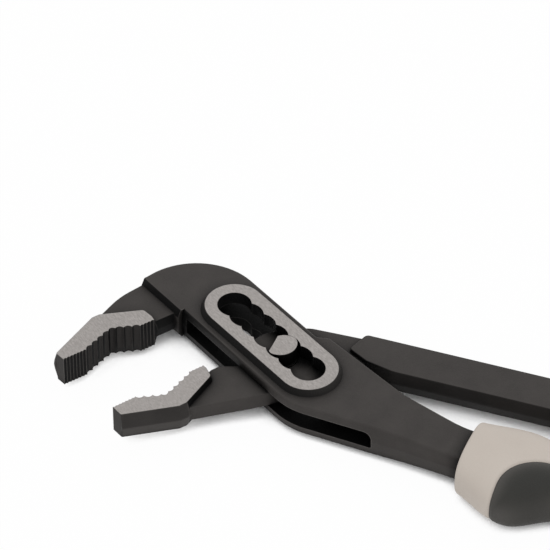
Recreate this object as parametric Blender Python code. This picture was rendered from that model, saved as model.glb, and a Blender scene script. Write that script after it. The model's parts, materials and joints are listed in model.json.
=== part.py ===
"""Box-joint water pump pliers: two forged halves, a notched pivot and two-component grips.

The plan lies in X and Y with the pivot pin at the origin of every piece. The jaws point to -X, the
handles to +X, and the tool lies flat with its front face up.
"""

from math import atan2, ceil, copysign, cos, pi, radians, sin, tan

import bmesh
import bpy
from mathutils import Matrix, Vector

MM = 0.001
ARC_STEP = radians(12)
ROUND_SIDES = 48

# Clearances
RUN_GAP = 0.3 * MM
FIT_GAP = 0.25 * MM
JAW_GAP = 0.35 * MM
CUT_PAST = 3 * MM

# Pivot: notches in the slot, and the pin that rests in one of them
NOTCH_COUNT = 7
REST_NOTCH = 5
NOTCH_PITCH = 5.65 * MM
SLOT_ANGLE = radians(-29.5)
PIN_RADIUS = 4.45 * MM
PIN_FLAT = 2.8 * MM
PIN_FLAT_ANGLE = radians(178)
PIN_PROUD = 0.5 * MM
NOTCH_PLAY = 0.25 * MM
JOURNAL_RADIUS = 3.9 * MM
STUB_RADIUS = 2.7 * MM
RIVET_FLARE = 0.8 * MM
RIVET_RECESS = 0.2 * MM
HEAD_CHAMFER = 0.2 * MM

# Box of the outer half
BOX_THICKNESS = 10.4 * MM
BOX_HALF_WIDTH = 11.45 * MM
WEB_THICKNESS = 5.0 * MM
RIM_WIDTH = 3.75 * MM
RIM_HEIGHT = 1.9 * MM
RIM_SLOPE = 1.0 * MM
BODY_RIDGE = 0.5 * MM
SHOULDER_RADIUS = 20.4 * MM
SHOULDER_BACK = 6.8 * MM
STEP_LENGTH = 2.5 * MM
BOX_FLARE = 2.6 * MM
CAVITY_END = 34.3 * MM
CAVITY_FRONT = 3.6 * MM
MOUTH_WALL = 4.2 * MM

# Jaws, measured along the gripping line from its tip and back from it
JAW_THICKNESS = 10.0 * MM
JAW_RIDGE = 1.5 * MM
JAW_TIP_REACH = 37.5 * MM
JAW_TIP_DROP = 37.5 * MM
JAW_ANGLE = radians(55)
CLOSING_ANGLE = radians(1.0)
JAW_LENGTH = 30.3 * MM
JAW_DEPTH = 10.3 * MM
JAW_BACK_START = 14.5 * MM
JAW_BACK_END = 18.2 * MM
JAW_TIP_WIDTH = 3.4 * MM
JAW_HEEL_WIDTH = 5.0 * MM
TIP_FLAT = 7.4 * MM
HEEL_FLAT = 4.4 * MM
VEE_DEPTH = 4.0 * MM
UPPER_VEE_AT = 17.4 * MM
LOWER_VEE_AT = 15.4 * MM
COARSE_PITCH = 2.6 * MM
COARSE_DEPTH = 0.55 * MM
FINE_PITCH = 1.05 * MM
FINE_DEPTH = 0.3 * MM
NECK_THICKNESS = 6.3 * MM
NECK_RIDGE = 0.7 * MM
NECK_SETBACK = 0.6 * MM
ARM_SETBACK = 1.2 * MM
ARM_DROP = 15.5 * MM

# Web and handles
EYE_WALL = 7.15 * MM
HANDLE_WIDTH = 12.0 * MM
HANDLE_RIDGE = 1.0 * MM
HANDLE_CLEAR = 5.3 * MM
HANDLE_FRONT = 66 * MM
HANDLE_SHOULDER = 11.1 * MM
TANG_CORNER = 3 * MM
INNER_HANDLE_THICKNESS = 7.4 * MM
INNER_HANDLE_ANGLE = radians(3.05)
INNER_GRIP_AT = (85 * MM, 14.3 * MM)
OUTER_HANDLE_THICKNESS = 8.6 * MM
OUTER_HANDLE_ANGLE = radians(-1)
OUTER_GRIP_AT = (61.5 * MM, -14.8 * MM)

# Grips, measured from their front end and out from the handle's middle
GRIP_LENGTH = 121 * MM
GRIP_HALF_WIDTH = 10.5 * MM
GRIP_HALF_THICKNESS = 7.6 * MM
GRIP_SQUARENESS = 2.7
GRIP_END_ROUND = 13 * MM
GUARD_HEIGHT = 8.5 * MM
GUARD_AT = 17 * MM
GUARD_FRONT = 22 * MM
GUARD_REAR = 15.5 * MM
THUMB_SWELL = 2.1 * MM
THUMB_AT = 15 * MM
THUMB_FRONT = 17.5 * MM
THUMB_REAR = 12 * MM
PALM_SWELL = 0.9 * MM
PALM_AT = 84 * MM
PALM_SPREAD = 36 * MM
PAD_DEPTH = 1.6 * MM
PAD_FRONT = 13 * MM
PAD_CORNER = 12 * MM
PAD_REAR = 14 * MM
PAD_EDGE = 1.0 * MM
TANG_SHORT = 16 * MM
GRIP_SIDES = 28
GRIP_STATIONS = 30

NOTCH_RADIUS = PIN_RADIUS + RUN_GAP + NOTCH_PLAY
FIRST_NOTCH = (1 - REST_NOTCH) * NOTCH_PITCH
LAST_NOTCH = (NOTCH_COUNT - REST_NOTCH) * NOTCH_PITCH
BOX_TOP = BOX_THICKNESS / 2
RIM_TOP = BOX_TOP + RIM_HEIGHT
WEB_TOP = WEB_THICKNESS / 2
CAVITY_TOP = WEB_TOP + RUN_GAP
EYE_RADIUS = PIN_RADIUS + EYE_WALL


def frame(x, y, angle):
    """Plan frame at (x, y), turned by angle: it maps along and across to a point."""
    along = Vector((cos(angle), sin(angle)))
    across = Vector((-sin(angle), cos(angle)))
    return lambda a, b: Vector((x, y)) + along * a + across * b


# The slot's middle line runs beside the pin, which is seated toward the handle side
slot = frame(NOTCH_PLAY * sin(SLOT_ANGLE), -NOTCH_PLAY * cos(SLOT_ANGLE), SLOT_ANGLE)
outer_handle = frame(*OUTER_GRIP_AT, OUTER_HANDLE_ANGLE)
inner_handle = frame(*INNER_GRIP_AT, INNER_HANDLE_ANGLE)


def upper_jaw(along, back):
    """Point of the upper jaw, which closes against the lower one with the pin in the first notch."""
    pin = Vector((FIRST_NOTCH * cos(SLOT_ANGLE), FIRST_NOTCH * sin(SLOT_ANGLE)))
    return pin + frame(-JAW_TIP_REACH, -JAW_TIP_DROP, JAW_ANGLE)(along, back)


def lower_jaw(along, back):
    """Point of the lower jaw, opened from the closed position by the closing angle."""
    closed = frame(-JAW_TIP_REACH, -JAW_TIP_DROP, JAW_ANGLE)(along, -back - JAW_GAP)
    return Matrix.Rotation(CLOSING_ANGLE, 2) @ closed


def arc(centre, radius, start, end):
    """Points along an arc from one angle to another, both included."""
    steps = max(1, ceil(abs(end - start) / ARC_STEP))
    turns = [start + (end - start) * i / steps for i in range(steps + 1)]
    return [centre + Vector((cos(turn), sin(turn))) * radius for turn in turns]


def plain(points):
    """Corners that stay sharp."""
    return [(point, 0) for point in points]


def rounded(corners):
    """Closed outline through (point, radius) corners, each rounded by an arc."""
    outline = []
    for i, (corner, radius) in enumerate(corners):
        if radius == 0:
            outline.append(corner)
            continue
        before = (corners[i - 1][0] - corner).normalized()
        after = (corners[(i + 1) % len(corners)][0] - corner).normalized()
        half_angle = before.angle(after) / 2
        centre = corner + (before + after).normalized() * radius / sin(half_angle)
        first = corner + before * radius / tan(half_angle) - centre
        last = corner + after * radius / tan(half_angle) - centre
        start = atan2(first.y, first.x)
        sweep = (atan2(last.y, last.x) - start + pi) % (2 * pi) - pi
        outline += arc(centre, radius, start, start + sweep)
    return outline


def spread_outline(outline, shifts):
    """Outline with each edge moved outward by its own shift."""
    pairs = list(zip(outline, outline[1:] + outline[:1]))
    turn = copysign(1, sum(a.x * b.y - a.y * b.x for a, b in pairs))
    normals = [Vector((b.y - a.y, a.x - b.x)).normalized() * turn for a, b in pairs]
    spread = []
    for i, point in enumerate(outline):
        first, second = normals[i - 1], normals[i]
        shift, next_shift = shifts[i - 1], shifts[i]
        cross = first.x * second.y - first.y * second.x
        if abs(cross) < 0.1:
            spread.append(point + (first + second).normalized() * (shift + next_shift) / 2)
        else:
            x = (shift * second.y - next_shift * first.y) / cross
            y = (next_shift * first.x - shift * second.x) / cross
            spread.append(point + Vector((x, y)))
    return spread


def skin(name, rings, closed=False):
    """Mesh over rings of points, with its end rings filled, or its last ring joined to the first."""
    shape = bmesh.new()
    loops = [[shape.verts.new(point) for point in ring] for ring in rings]
    pairs = list(zip(loops, loops[1:]))
    if closed:
        pairs.append((loops[-1], loops[0]))
    else:
        shape.faces.new(loops[0])
        shape.faces.new(loops[-1])
    for lower, upper in pairs:
        for i in range(len(lower)):
            shape.faces.new((lower[i - 1], lower[i], upper[i], upper[i - 1]))
    bmesh.ops.recalc_face_normals(shape, faces=shape.faces)
    mesh = bpy.data.meshes.new(name)
    shape.to_mesh(mesh)
    shape.free()
    return mesh


def prism(name, outline, levels, drafts=None):
    """Plan outline raised through (height, spread) levels; drafts scale the spread of each edge."""
    drafts = drafts or [1] * len(outline)
    rings = []
    for height, spread in levels:
        ring = spread_outline(outline, [spread * draft for draft in drafts])
        rings.append([point.to_3d() + Vector((0, 0, height)) for point in ring])
    return skin(name, rings)


def ridged(thickness, ridge, grown=0):
    """Levels of a forged section with a ridge at mid-height, all grown by a gap."""
    top = thickness / 2 + grown
    return [(-top, grown), (0, ridge + grown), (top, grown)]


def flat_plate(thickness):
    """Levels of a section with straight sides."""
    return [(-thickness / 2, 0), (thickness / 2, 0)]


def sweep(name, section, travel):
    """Closed section of 3D points moved along a vector."""
    return skin(name, [section, [point + travel for point in section]])


def material(name, colour, roughness, metallic):
    """Plain surface in one colour."""
    surface = bpy.data.materials.new(name)
    surface.use_nodes = True
    shader = surface.node_tree.nodes["Principled BSDF"]
    shader.inputs["Base Color"].default_value = (*colour, 1)
    shader.inputs["Roughness"].default_value = roughness
    shader.inputs["Metallic"].default_value = metallic
    return surface


def empty(name, parent=None):
    """Empty that carries other objects."""
    carrier = bpy.data.objects.new(name, None)
    carrier.parent = parent
    bpy.context.collection.objects.link(carrier)
    return carrier


def piece(mesh, parent, surface):
    """Visible sub-part with its own material."""
    mesh.materials.append(surface)
    mesh.shade_smooth()
    mesh.set_sharp_from_angle(angle=radians(30))
    body = bpy.data.objects.new(mesh.name, mesh)
    body.parent = parent
    bpy.context.collection.objects.link(body)
    return body


def helper(mesh, parent):
    """Hidden solid that a Boolean reads."""
    body = bpy.data.objects.new(mesh.name, mesh)
    body.parent = parent
    body.hide_render = True
    body.display_type = "WIRE"
    bpy.context.collection.objects.link(body)
    return body


def combine(body, operation, *meshes):
    """Boolean each mesh, or ready-made helper object, with a body."""
    for other in meshes:
        if isinstance(other, bpy.types.Mesh):
            other = helper(other, body.parent)
        step = body.modifiers.new(f"{operation.lower()} {other.name}", "BOOLEAN")
        step.operation = operation
        step.object = other
        step.solver = "EXACT"


def teeth(start, end, pitch, depth, shape):
    """Teeth from one point of the gripping line to another; shape gives shares of pitch and depth."""
    count = max(1, round((end - start).length / pitch))
    step = (end - start) / count
    back = Vector((-step.y, step.x)).normalized() * depth
    return [start + step * (i + along) + back * deep for i in range(count) for along, deep in shape]


def jaw_mesh(name, vee_at, place):
    """Jaw head with fine teeth at tip and heel and coarse ones in its vee, put in place on its half."""
    tip_end = Vector((TIP_FLAT, 0))
    vee = Vector((vee_at, VEE_DEPTH))
    heel_start = Vector((JAW_LENGTH - HEEL_FLAT, 0))
    heel = Vector((JAW_LENGTH, 0))
    fine = FINE_PITCH, FINE_DEPTH, ((0, 0), (0.5, 1))
    coarse = COARSE_PITCH, COARSE_DEPTH, ((0, 1), (0.14, 0.35), (0.5, 0), (0.86, 0.35))
    grip = teeth(Vector((0, 0)), tip_end, *fine)
    grip += teeth(tip_end, vee, *coarse)
    grip += teeth(vee, heel_start, *coarse)
    grip += teeth(heel_start, heel, *fine)
    grip.append(heel)
    back = [
        (Vector((JAW_LENGTH + 0.2 * MM, 1.5 * MM)), 0.8 * MM),
        (Vector((JAW_LENGTH - 0.4 * MM, JAW_HEEL_WIDTH)), 1.5 * MM),
        (Vector((JAW_BACK_END, JAW_DEPTH)), 2.5 * MM),
        (Vector((JAW_BACK_START, JAW_DEPTH)), 5 * MM),
        (Vector((0, JAW_TIP_WIDTH)), 0.6 * MM),
    ]
    outline = rounded(plain(grip) + back)
    drafts = [0] * len(grip) + [1] * (len(outline) - len(grip) - 1) + [0]
    outline = [place(point.x, point.y) for point in outline]
    return prism(name, outline, ridged(JAW_THICKNESS, JAW_RIDGE), drafts)


def slot_outline():
    """Chain of overlapping notches, one side out and the other side back."""
    neck = atan2((NOTCH_RADIUS**2 - (NOTCH_PITCH / 2) ** 2) ** 0.5, NOTCH_PITCH / 2)
    centres = [slot(FIRST_NOTCH + i * NOTCH_PITCH, 0) for i in range(NOTCH_COUNT)]
    outline = []
    for side, ordered in ((0, centres), (pi, centres[::-1])):
        turn = SLOT_ANGLE + side
        for i, centre in enumerate(ordered):
            start = turn - pi + (neck if i > 0 else 0)
            end = turn - (neck if i < NOTCH_COUNT - 1 else 0)
            outline += arc(centre, NOTCH_RADIUS, start, end)[:-1]
    return outline


def racetrack(radius):
    """Round-ended outline around the whole slot."""
    first = arc(slot(FIRST_NOTCH, 0), radius, SLOT_ANGLE + pi / 2, SLOT_ANGLE + 1.5 * pi)
    last = arc(slot(LAST_NOTCH, 0), radius, SLOT_ANGLE - pi / 2, SLOT_ANGLE + pi / 2)
    return first + last


def rim(name, side):
    """Raised rim around the slot on one face of the box."""
    outer = NOTCH_RADIUS + RIM_WIDTH
    levels = [(BOX_TOP - 1 * MM, RIM_SLOPE), (BOX_TOP, RIM_SLOPE), (RIM_TOP, 0)]
    return prism(name, racetrack(outer), [(side * height, spread) for height, spread in levels])


def shoulder_end():
    """Angle, from the slot's direction, where the shoulder's arc comes down to the box's front side."""
    return pi - atan2(SHOULDER_RADIUS - 2 * BOX_HALF_WIDTH, SHOULDER_RADIUS)


def body_outline():
    """Box with its round shoulder, narrowing to the outer handle and its tang."""
    tang = GRIP_LENGTH - TANG_SHORT
    half = HANDLE_WIDTH / 2
    side = BOX_HALF_WIDTH
    centre = slot(FIRST_NOTCH - SHOULDER_BACK, side - SHOULDER_RADIUS)
    shoulder = arc(centre, SHOULDER_RADIUS, SLOT_ANGLE + pi / 2, SLOT_ANGLE + shoulder_end())
    heel = outer_handle(-52.5 * MM, -half + 0.9 * MM)
    corners = plain(shoulder) + [
        (heel, 20 * MM),
        (outer_handle(-19 * MM, -half + 0.9 * MM), 60 * MM),
        (outer_handle(-3 * MM, -half), 0),
        (outer_handle(tang, -half), TANG_CORNER),
        (outer_handle(tang, half), TANG_CORNER),
        (outer_handle(-3 * MM, half), 30 * MM),
        (outer_handle(-24 * MM, HANDLE_SHOULDER), 40 * MM),
        (slot(LAST_NOTCH - 7.6 * MM, side + BOX_FLARE), 1.5 * MM),
        (slot(LAST_NOTCH - 10.4 * MM, side), 1.5 * MM),
    ]
    return rounded(corners)


def cavity_outline():
    """Room for the web in every notch and at every opening, open on both sides of the box."""
    past = BOX_HALF_WIDTH + SHOULDER_RADIUS
    near = FIRST_NOTCH - EYE_RADIUS
    corners = [
        (slot(near + MOUTH_WALL, -past), 0),
        (slot(near + MOUTH_WALL, 2 * MM - BOX_HALF_WIDTH), 0),
        (slot(near - CAVITY_FRONT, -0.5 * MM), 3 * MM),
        (slot(near - CAVITY_FRONT, past), 0),
        (Vector((CAVITY_END, past)), 0),
        (Vector((CAVITY_END, -past)), 0),
    ]
    return rounded(corners)


def neck_outline():
    """Thin neck from the upper jaw up to the box."""
    side = BOX_HALF_WIDTH
    near = FIRST_NOTCH - EYE_RADIUS
    shoulder_front = FIRST_NOTCH - SHOULDER_BACK - SHOULDER_RADIUS
    corners = [
        (upper_jaw(UPPER_VEE_AT + 3 * MM, NECK_SETBACK + VEE_DEPTH), 0),
        (upper_jaw(JAW_LENGTH - 2.5 * MM, NECK_SETBACK + 1.2 * MM), 0),
        (upper_jaw(JAW_LENGTH + 1 * MM, NECK_SETBACK), 0),
        (upper_jaw(JAW_LENGTH + 7 * MM, NECK_SETBACK), 1 * MM),
        (slot(near + 2.4 * MM, CUT_PAST - side), 0),
        (slot(shoulder_front + 1.2 * MM, CUT_PAST - side), 0),
        (slot(shoulder_front + 0.5 * MM, 1 * MM - side), 0),
        (upper_jaw(JAW_LENGTH - 2.5 * MM, JAW_DEPTH + 4.2 * MM), 25 * MM),
        (upper_jaw(JAW_BACK_END - 1.5 * MM, JAW_DEPTH - 0.2 * MM), 0),
        (upper_jaw(JAW_BACK_START + 0.5 * MM, JAW_DEPTH - 3 * MM), 0),
    ]
    return rounded(corners)


def step_mesh():
    """Slope on both faces from the box down to the neck."""
    near = FIRST_NOTCH - EYE_RADIUS
    start = FIRST_NOTCH - SHOULDER_BACK - SHOULDER_RADIUS + 0.6 * MM
    side = -BOX_HALF_WIDTH
    high = BOX_TOP - 0.02 * MM
    low = NECK_THICKNESS / 2 - 0.5 * MM
    profile = [(side + CUT_PAST, high), (side, high), (side - STEP_LENGTH, low)]
    profile += [(across, -height) for across, height in reversed(profile)]
    section = [slot(start, across).to_3d() + Vector((0, 0, height)) for across, height in profile]
    travel = slot(near + 2.4 * MM, 0) - slot(start, 0)
    return sweep("neck_step", section, travel.to_3d())


def handle_taper(name, side):
    """Wedge that thins the outer handle from the box's thickness to its own, on one face."""
    start = outer_handle(-26 * MM, 0).x
    end = outer_handle(-6 * MM, 0).x
    past = outer_handle(GRIP_LENGTH, 0).x
    low = OUTER_HANDLE_THICKNESS / 2
    lift = BOX_TOP + CUT_PAST
    profile = [(start, lift), (start, BOX_TOP), (end, low), (past, low), (past, lift)]
    width = 4 * HANDLE_WIDTH
    section = [Vector((x, OUTER_GRIP_AT[1] - width, side * height)) for x, height in profile]
    return sweep(name, section, Vector((0, 2 * width, 0)))


def outer_half(parent, surface):
    """Forging with the upper jaw, the box with its notched slot, and the lower handle."""
    body = piece(prism("outer_half", body_outline(), ridged(BOX_THICKNESS, BODY_RIDGE)), parent, surface)
    neck = prism("upper_neck", neck_outline(), ridged(NECK_THICKNESS, NECK_RIDGE))
    combine(body, "DIFFERENCE", handle_taper("front_taper", 1), handle_taper("rear_taper", -1))
    combine(body, "UNION", step_mesh(), neck, jaw_mesh("upper_jaw", UPPER_VEE_AT, upper_jaw))
    combine(body, "UNION", rim("front_rim", 1), rim("rear_rim", -1))
    cavity = prism("cavity", cavity_outline(), flat_plate(2 * CAVITY_TOP))
    through = prism("slot", slot_outline(), flat_plate(2 * (RIM_TOP + CUT_PAST)))
    combine(body, "DIFFERENCE", cavity, through)
    return body


def web_outline():
    """Flat web from the lower jaw, round the pin and on into the inner handle."""
    eye = arc(Vector((0, 0)), EYE_RADIUS, radians(218), radians(120))
    clear = BOX_HALF_WIDTH + HANDLE_CLEAR
    half = HANDLE_WIDTH / 2
    corners = [
        (lower_jaw(JAW_BACK_END + 0.5 * MM, JAW_DEPTH + 0.6 * MM), 0),
        (lower_jaw(JAW_BACK_END + 0.5 * MM, JAW_DEPTH - 5 * MM), 0),
        (lower_jaw(JAW_LENGTH - 2 * MM, 2.5 * MM), 0),
        (lower_jaw(JAW_LENGTH + 2 * MM, ARM_SETBACK), 0.8 * MM),
        (lower_jaw(JAW_LENGTH + 4.7 * MM, ARM_SETBACK), 0.8 * MM),
    ]
    corners += plain(eye)
    corners += [
        (eye[-1] + Matrix.Rotation(-pi / 2, 2) @ eye[-1].normalized() * 9 * MM, 8 * MM),
        (inner_handle(-HANDLE_FRONT, half - 0.6 * MM), 0),
        (inner_handle(8 * MM - HANDLE_FRONT, 0), 0),
        (inner_handle(3.5 * MM - HANDLE_FRONT, 1.5 * MM - half), 0),
        (slot(16.3 * MM, clear + 0.4 * MM), 0),
        (Vector((1 * MM, -ARM_DROP)), 60 * MM),
    ]
    return rounded(corners)


def inner_handle_outline():
    """Thick handle with a slanted front end that keeps clear of the box."""
    half = HANDLE_WIDTH / 2
    tang = GRIP_LENGTH - TANG_SHORT
    clear = BOX_HALF_WIDTH + HANDLE_CLEAR
    corners = [
        (slot(9.5 * MM, clear), 1 * MM),
        (slot(16.3 * MM, clear + 0.5 * MM), 2.5 * MM),
        (inner_handle(12 * MM - HANDLE_FRONT, -half), 10 * MM),
        (inner_handle(tang, -half), TANG_CORNER),
        (inner_handle(tang, half), TANG_CORNER),
        (inner_handle(-HANDLE_FRONT, half), 1.5 * MM),
    ]
    return rounded(corners)


def inner_half(parent, surface):
    """Forging with the lower jaw, the web through the box, and the upper handle."""
    body = piece(prism("inner_half", web_outline(), flat_plate(WEB_THICKNESS)), parent, surface)
    handle = prism("inner_handle", inner_handle_outline(), ridged(INNER_HANDLE_THICKNESS, HANDLE_RIDGE))
    bore = turned("pin_bore", [(JOURNAL_RADIUS + FIT_GAP, -BOX_TOP), (JOURNAL_RADIUS + FIT_GAP, BOX_TOP)])
    combine(body, "UNION", jaw_mesh("lower_jaw", LOWER_VEE_AT, lower_jaw), handle)
    combine(body, "DIFFERENCE", bore)
    return body


def section(radius, height, flat=None):
    """Round ring at a height, cut by the pin's flat where one is given."""
    ring = []
    for i in range(ROUND_SIDES):
        turn = 2 * pi * i / ROUND_SIDES
        reach = radius
        if flat is not None and cos(turn - PIN_FLAT_ANGLE) > flat / radius:
            reach = flat / cos(turn - PIN_FLAT_ANGLE)
        ring.append(Vector((reach * cos(turn), reach * sin(turn), height)))
    return ring


def turned(name, profile):
    """Solid of revolution through (radius, height) points."""
    return skin(name, [section(radius, height) for radius, height in profile])


def pivot_pin(parent, surface):
    """Pin with a D-shaped head in the front slot, a journal in the web and a riveted rear end."""
    rear = RIVET_RECESS - RIM_TOP
    top = RIM_TOP + PIN_PROUD
    rings = [
        section(STUB_RADIUS + RIVET_FLARE, rear),
        section(STUB_RADIUS, rear + RIVET_FLARE),
        section(STUB_RADIUS, -WEB_TOP),
        section(JOURNAL_RADIUS, -WEB_TOP),
        section(JOURNAL_RADIUS, CAVITY_TOP),
        section(PIN_RADIUS, CAVITY_TOP, PIN_FLAT),
        section(PIN_RADIUS, top - HEAD_CHAMFER, PIN_FLAT),
        section(PIN_RADIUS - HEAD_CHAMFER, top, PIN_FLAT - HEAD_CHAMFER),
    ]
    return piece(skin("pivot_pin", rings), parent, surface)


def pin_collar(parent, surface):
    """Ring on the pin's rear end, seated in the rear slot, countersunk for the rivet."""
    bore = STUB_RADIUS + FIT_GAP
    rear = RIVET_RECESS - RIM_TOP
    profile = [
        (PIN_RADIUS, rear),
        (PIN_RADIUS, -CAVITY_TOP),
        (bore, -CAVITY_TOP),
        (bore, rear + RIVET_FLARE),
        (bore + RIVET_FLARE, rear),
    ]
    return piece(skin("pin_collar", [section(*point) for point in profile], closed=True), parent, surface)


def bump(along, middle, front, rear):
    """Smooth hump of height 1 with its own length on each side of its middle."""
    share = (along - middle) / (front if along < middle else rear)
    return cos(pi / 2 * share) ** 2 if abs(share) < 1 else 0


def grip_ring(along, side, place, inset):
    """Cross-section of a grip: guard and palm swell on the outer side, thumb swell on the inner."""
    left = (GRIP_LENGTH - along) / GRIP_END_ROUND
    end = 1 if left >= 1 else 0.35 + 0.65 * max(0, 1 - (1 - left) ** 2) ** 0.5
    palm = PALM_SWELL * bump(along, PALM_AT, PALM_SPREAD, PALM_SPREAD)
    outward = GRIP_HALF_WIDTH + palm + GUARD_HEIGHT * bump(along, GUARD_AT, GUARD_FRONT, GUARD_REAR)
    inward = GRIP_HALF_WIDTH + THUMB_SWELL * bump(along, THUMB_AT, THUMB_FRONT, THUMB_REAR)
    ring = []
    for i in range(GRIP_SIDES):
        turn = 2 * pi * i / GRIP_SIDES
        shares = [copysign(abs(x) ** (2 / GRIP_SQUARENESS), x) for x in (cos(turn), sin(turn))]
        width = (outward if shares[0] > 0 else inward) * end - inset
        height = (GRIP_HALF_THICKNESS * end - inset) * shares[1]
        ring.append(place(along, side * width * shares[0]).to_3d() + Vector((0, 0, height)))
    return ring


def grip_mesh(name, side, place, inset=0):
    """Whole grip body, or a core inside it at an inset."""
    stations = []
    for i in range(GRIP_STATIONS + 1):
        share = i / GRIP_STATIONS
        stations.append(GRIP_LENGTH * (share - 0.11 * sin(2 * pi * share)))
    return skin(name, [grip_ring(along, side, place, inset) for along in stations])


def pad_mesh(name, side, place, grown=0):
    """Block that bounds the soft pad in plan, from the outer side to just past the middle."""
    far = GRIP_HALF_WIDTH + GUARD_HEIGHT + CUT_PAST
    rear = GRIP_LENGTH - PAD_REAR
    corners = [
        (place(PAD_FRONT, side * far), 0),
        (place(PAD_FRONT, side * PAD_EDGE), PAD_CORNER),
        (place(rear, -side * PAD_EDGE), 7 * MM),
        (place(rear, side * far), 0),
    ]
    return prism(name, rounded(corners), [(-BOX_THICKNESS, grown), (BOX_THICKNESS, grown)])


def grip(name, parent, side, place, thickness, sleeve_surface, pad_surface):
    """Hard sleeve on a tang and the soft pad moulded in its outer side."""
    pad = piece(grip_mesh(f"{name}_grip_pad", side, place), parent, pad_surface)
    combine(pad, "INTERSECT", pad_mesh(f"{name}_pad_block", side, place))
    combine(pad, "DIFFERENCE", grip_mesh(f"{name}_pad_core", side, place, PAD_DEPTH))
    recess = helper(pad_mesh(f"{name}_recess", side, place, FIT_GAP), parent)
    combine(recess, "DIFFERENCE", grip_mesh(f"{name}_recess_core", side, place, PAD_DEPTH + FIT_GAP))
    half = HANDLE_WIDTH / 2
    tang = GRIP_LENGTH - TANG_SHORT
    corners = [place(a, b) for a, b in ((-CUT_PAST, -half), (tang, -half), (tang, half), (-CUT_PAST, half))]
    ridge = BODY_RIDGE if side < 0 else HANDLE_RIDGE
    pocket = prism(f"{name}_tang_pocket", corners, ridged(thickness, ridge, FIT_GAP))
    sleeve = piece(grip_mesh(f"{name}_grip_sleeve", side, place), parent, sleeve_surface)
    combine(sleeve, "DIFFERENCE", recess, pocket)


def build():
    """Build every piece and set the whole on the middle of its underside."""
    for old in list(bpy.data.objects):
        bpy.data.objects.remove(old)
    steel = material("phosphated_steel", (0.062, 0.06, 0.058), 0.5, 0.85)
    arm_steel = material("phosphated_steel_inner", (0.062, 0.06, 0.058), 0.5, 0.85)
    pin_steel = material("ground_steel", (0.42, 0.4, 0.39), 0.35, 1)
    collar_steel = material("ground_steel_collar", (0.42, 0.4, 0.39), 0.35, 1)
    base = empty("pliers")
    pivot = empty("pivot_axis", base)
    outer_half(base, steel)
    inner_half(pivot, arm_steel)
    pivot_pin(pivot, pin_steel)
    pin_collar(pivot, collar_steel)
    for name, parent, side, place, thickness in (
        ("outer", base, -1, outer_handle, OUTER_HANDLE_THICKNESS),
        ("inner", pivot, 1, inner_handle, INNER_HANDLE_THICKNESS),
    ):
        hard = material(f"{name}_hard_plastic", (0.55, 0.5, 0.46), 0.45, 0)
        soft = material(f"{name}_soft_plastic", (0.042, 0.042, 0.04), 0.7, 0)
        grip(name, parent, side, place, thickness, hard, soft)
    depsgraph = bpy.context.evaluated_depsgraph_get()
    solids = [item.evaluated_get(depsgraph) for item in bpy.data.objects if item.type == "MESH"]
    corners = [Vector(corner) for item in solids if not item.hide_render for corner in item.bound_box]
    low = Vector([min(corner[axis] for corner in corners) for axis in range(3)])
    high = Vector([max(corner[axis] for corner in corners) for axis in range(3)])
    base.location = (-(low.x + high.x) / 2, -(low.y + high.y) / 2, -low.z)


build()
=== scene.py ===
"""Looks of the box-joint water pump pliers: forged halves, pivot, moulded grips and studio.

Every piece is modelled in the tool's own plan, with sizes given in millimetres, the pivot pin at the
origin, the jaws to -X and the handles to +X, and is moved to the hinge of the frame at the end.
"""

import json
from collections import namedtuple
from math import atan2, ceil, copysign, cos, pi, radians, sin, tan

import bmesh
import bpy
import numpy as np
from mathutils import Matrix, Vector


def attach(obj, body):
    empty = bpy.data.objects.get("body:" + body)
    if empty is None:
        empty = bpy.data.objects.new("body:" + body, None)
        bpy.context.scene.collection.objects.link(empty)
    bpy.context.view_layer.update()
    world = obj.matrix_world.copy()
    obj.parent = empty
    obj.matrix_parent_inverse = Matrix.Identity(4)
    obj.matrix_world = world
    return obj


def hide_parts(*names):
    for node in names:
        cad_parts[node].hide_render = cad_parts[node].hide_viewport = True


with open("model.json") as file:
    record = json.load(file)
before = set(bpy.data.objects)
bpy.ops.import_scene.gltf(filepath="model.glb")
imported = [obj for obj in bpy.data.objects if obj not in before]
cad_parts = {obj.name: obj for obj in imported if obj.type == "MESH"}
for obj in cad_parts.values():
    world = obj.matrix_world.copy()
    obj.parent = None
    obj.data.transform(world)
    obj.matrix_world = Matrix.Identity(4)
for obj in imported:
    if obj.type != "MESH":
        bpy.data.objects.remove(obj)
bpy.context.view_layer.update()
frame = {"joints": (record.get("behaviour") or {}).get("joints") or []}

MM = 0.001
ARC_STEP = radians(5)
EDGE_STEP = radians(18)
ROUND_SIDES = 120
NEARLY_STRAIGHT = 0.1
SHARP_ANGLE = radians(32)
HINGE = Vector(next(joint["pos_m"] for joint in frame["joints"] if joint["name"] == "pivot_hinge"))

# Clearances
RUN_GAP = 0.3 * MM
FIT_GAP = 0.25 * MM
JAW_GAP = 0.35 * MM
SEAM_GAP = 0.04 * MM
CUT_PAST = 3 * MM

# Pivot: notches in the slot, and the pin that rests in one of them
NOTCH_COUNT = 7
REST_NOTCH = 5
NOTCH_PITCH = 5.65 * MM
SLOT_ANGLE = radians(-29.5)
PIN_RADIUS = 4.45 * MM
PIN_FLAT = 3.3 * MM
PIN_FLAT_ANGLE = radians(180)
HEAD_RADIUS = 4.73 * MM
HEAD_FRONT = 4.95 * MM
HEAD_BESIDE = -1.75 * MM
PIN_EDGE = 0.08 * MM
NOTCH_PLAY = 0.25 * MM
JOURNAL_RADIUS = 3.9 * MM
STUB_RADIUS = 2.7 * MM
RIVET_FLARE = 0.8 * MM
RIVET_RECESS = 0.2 * MM
RIVET_DOME = 0.15 * MM
RIVET_RINGS = (0.05, 0.4, 0.7, 0.9, 1)
COLLAR_EDGE = 0.3 * MM
COLLAR_EDGE_SHARE = 0.3

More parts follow.
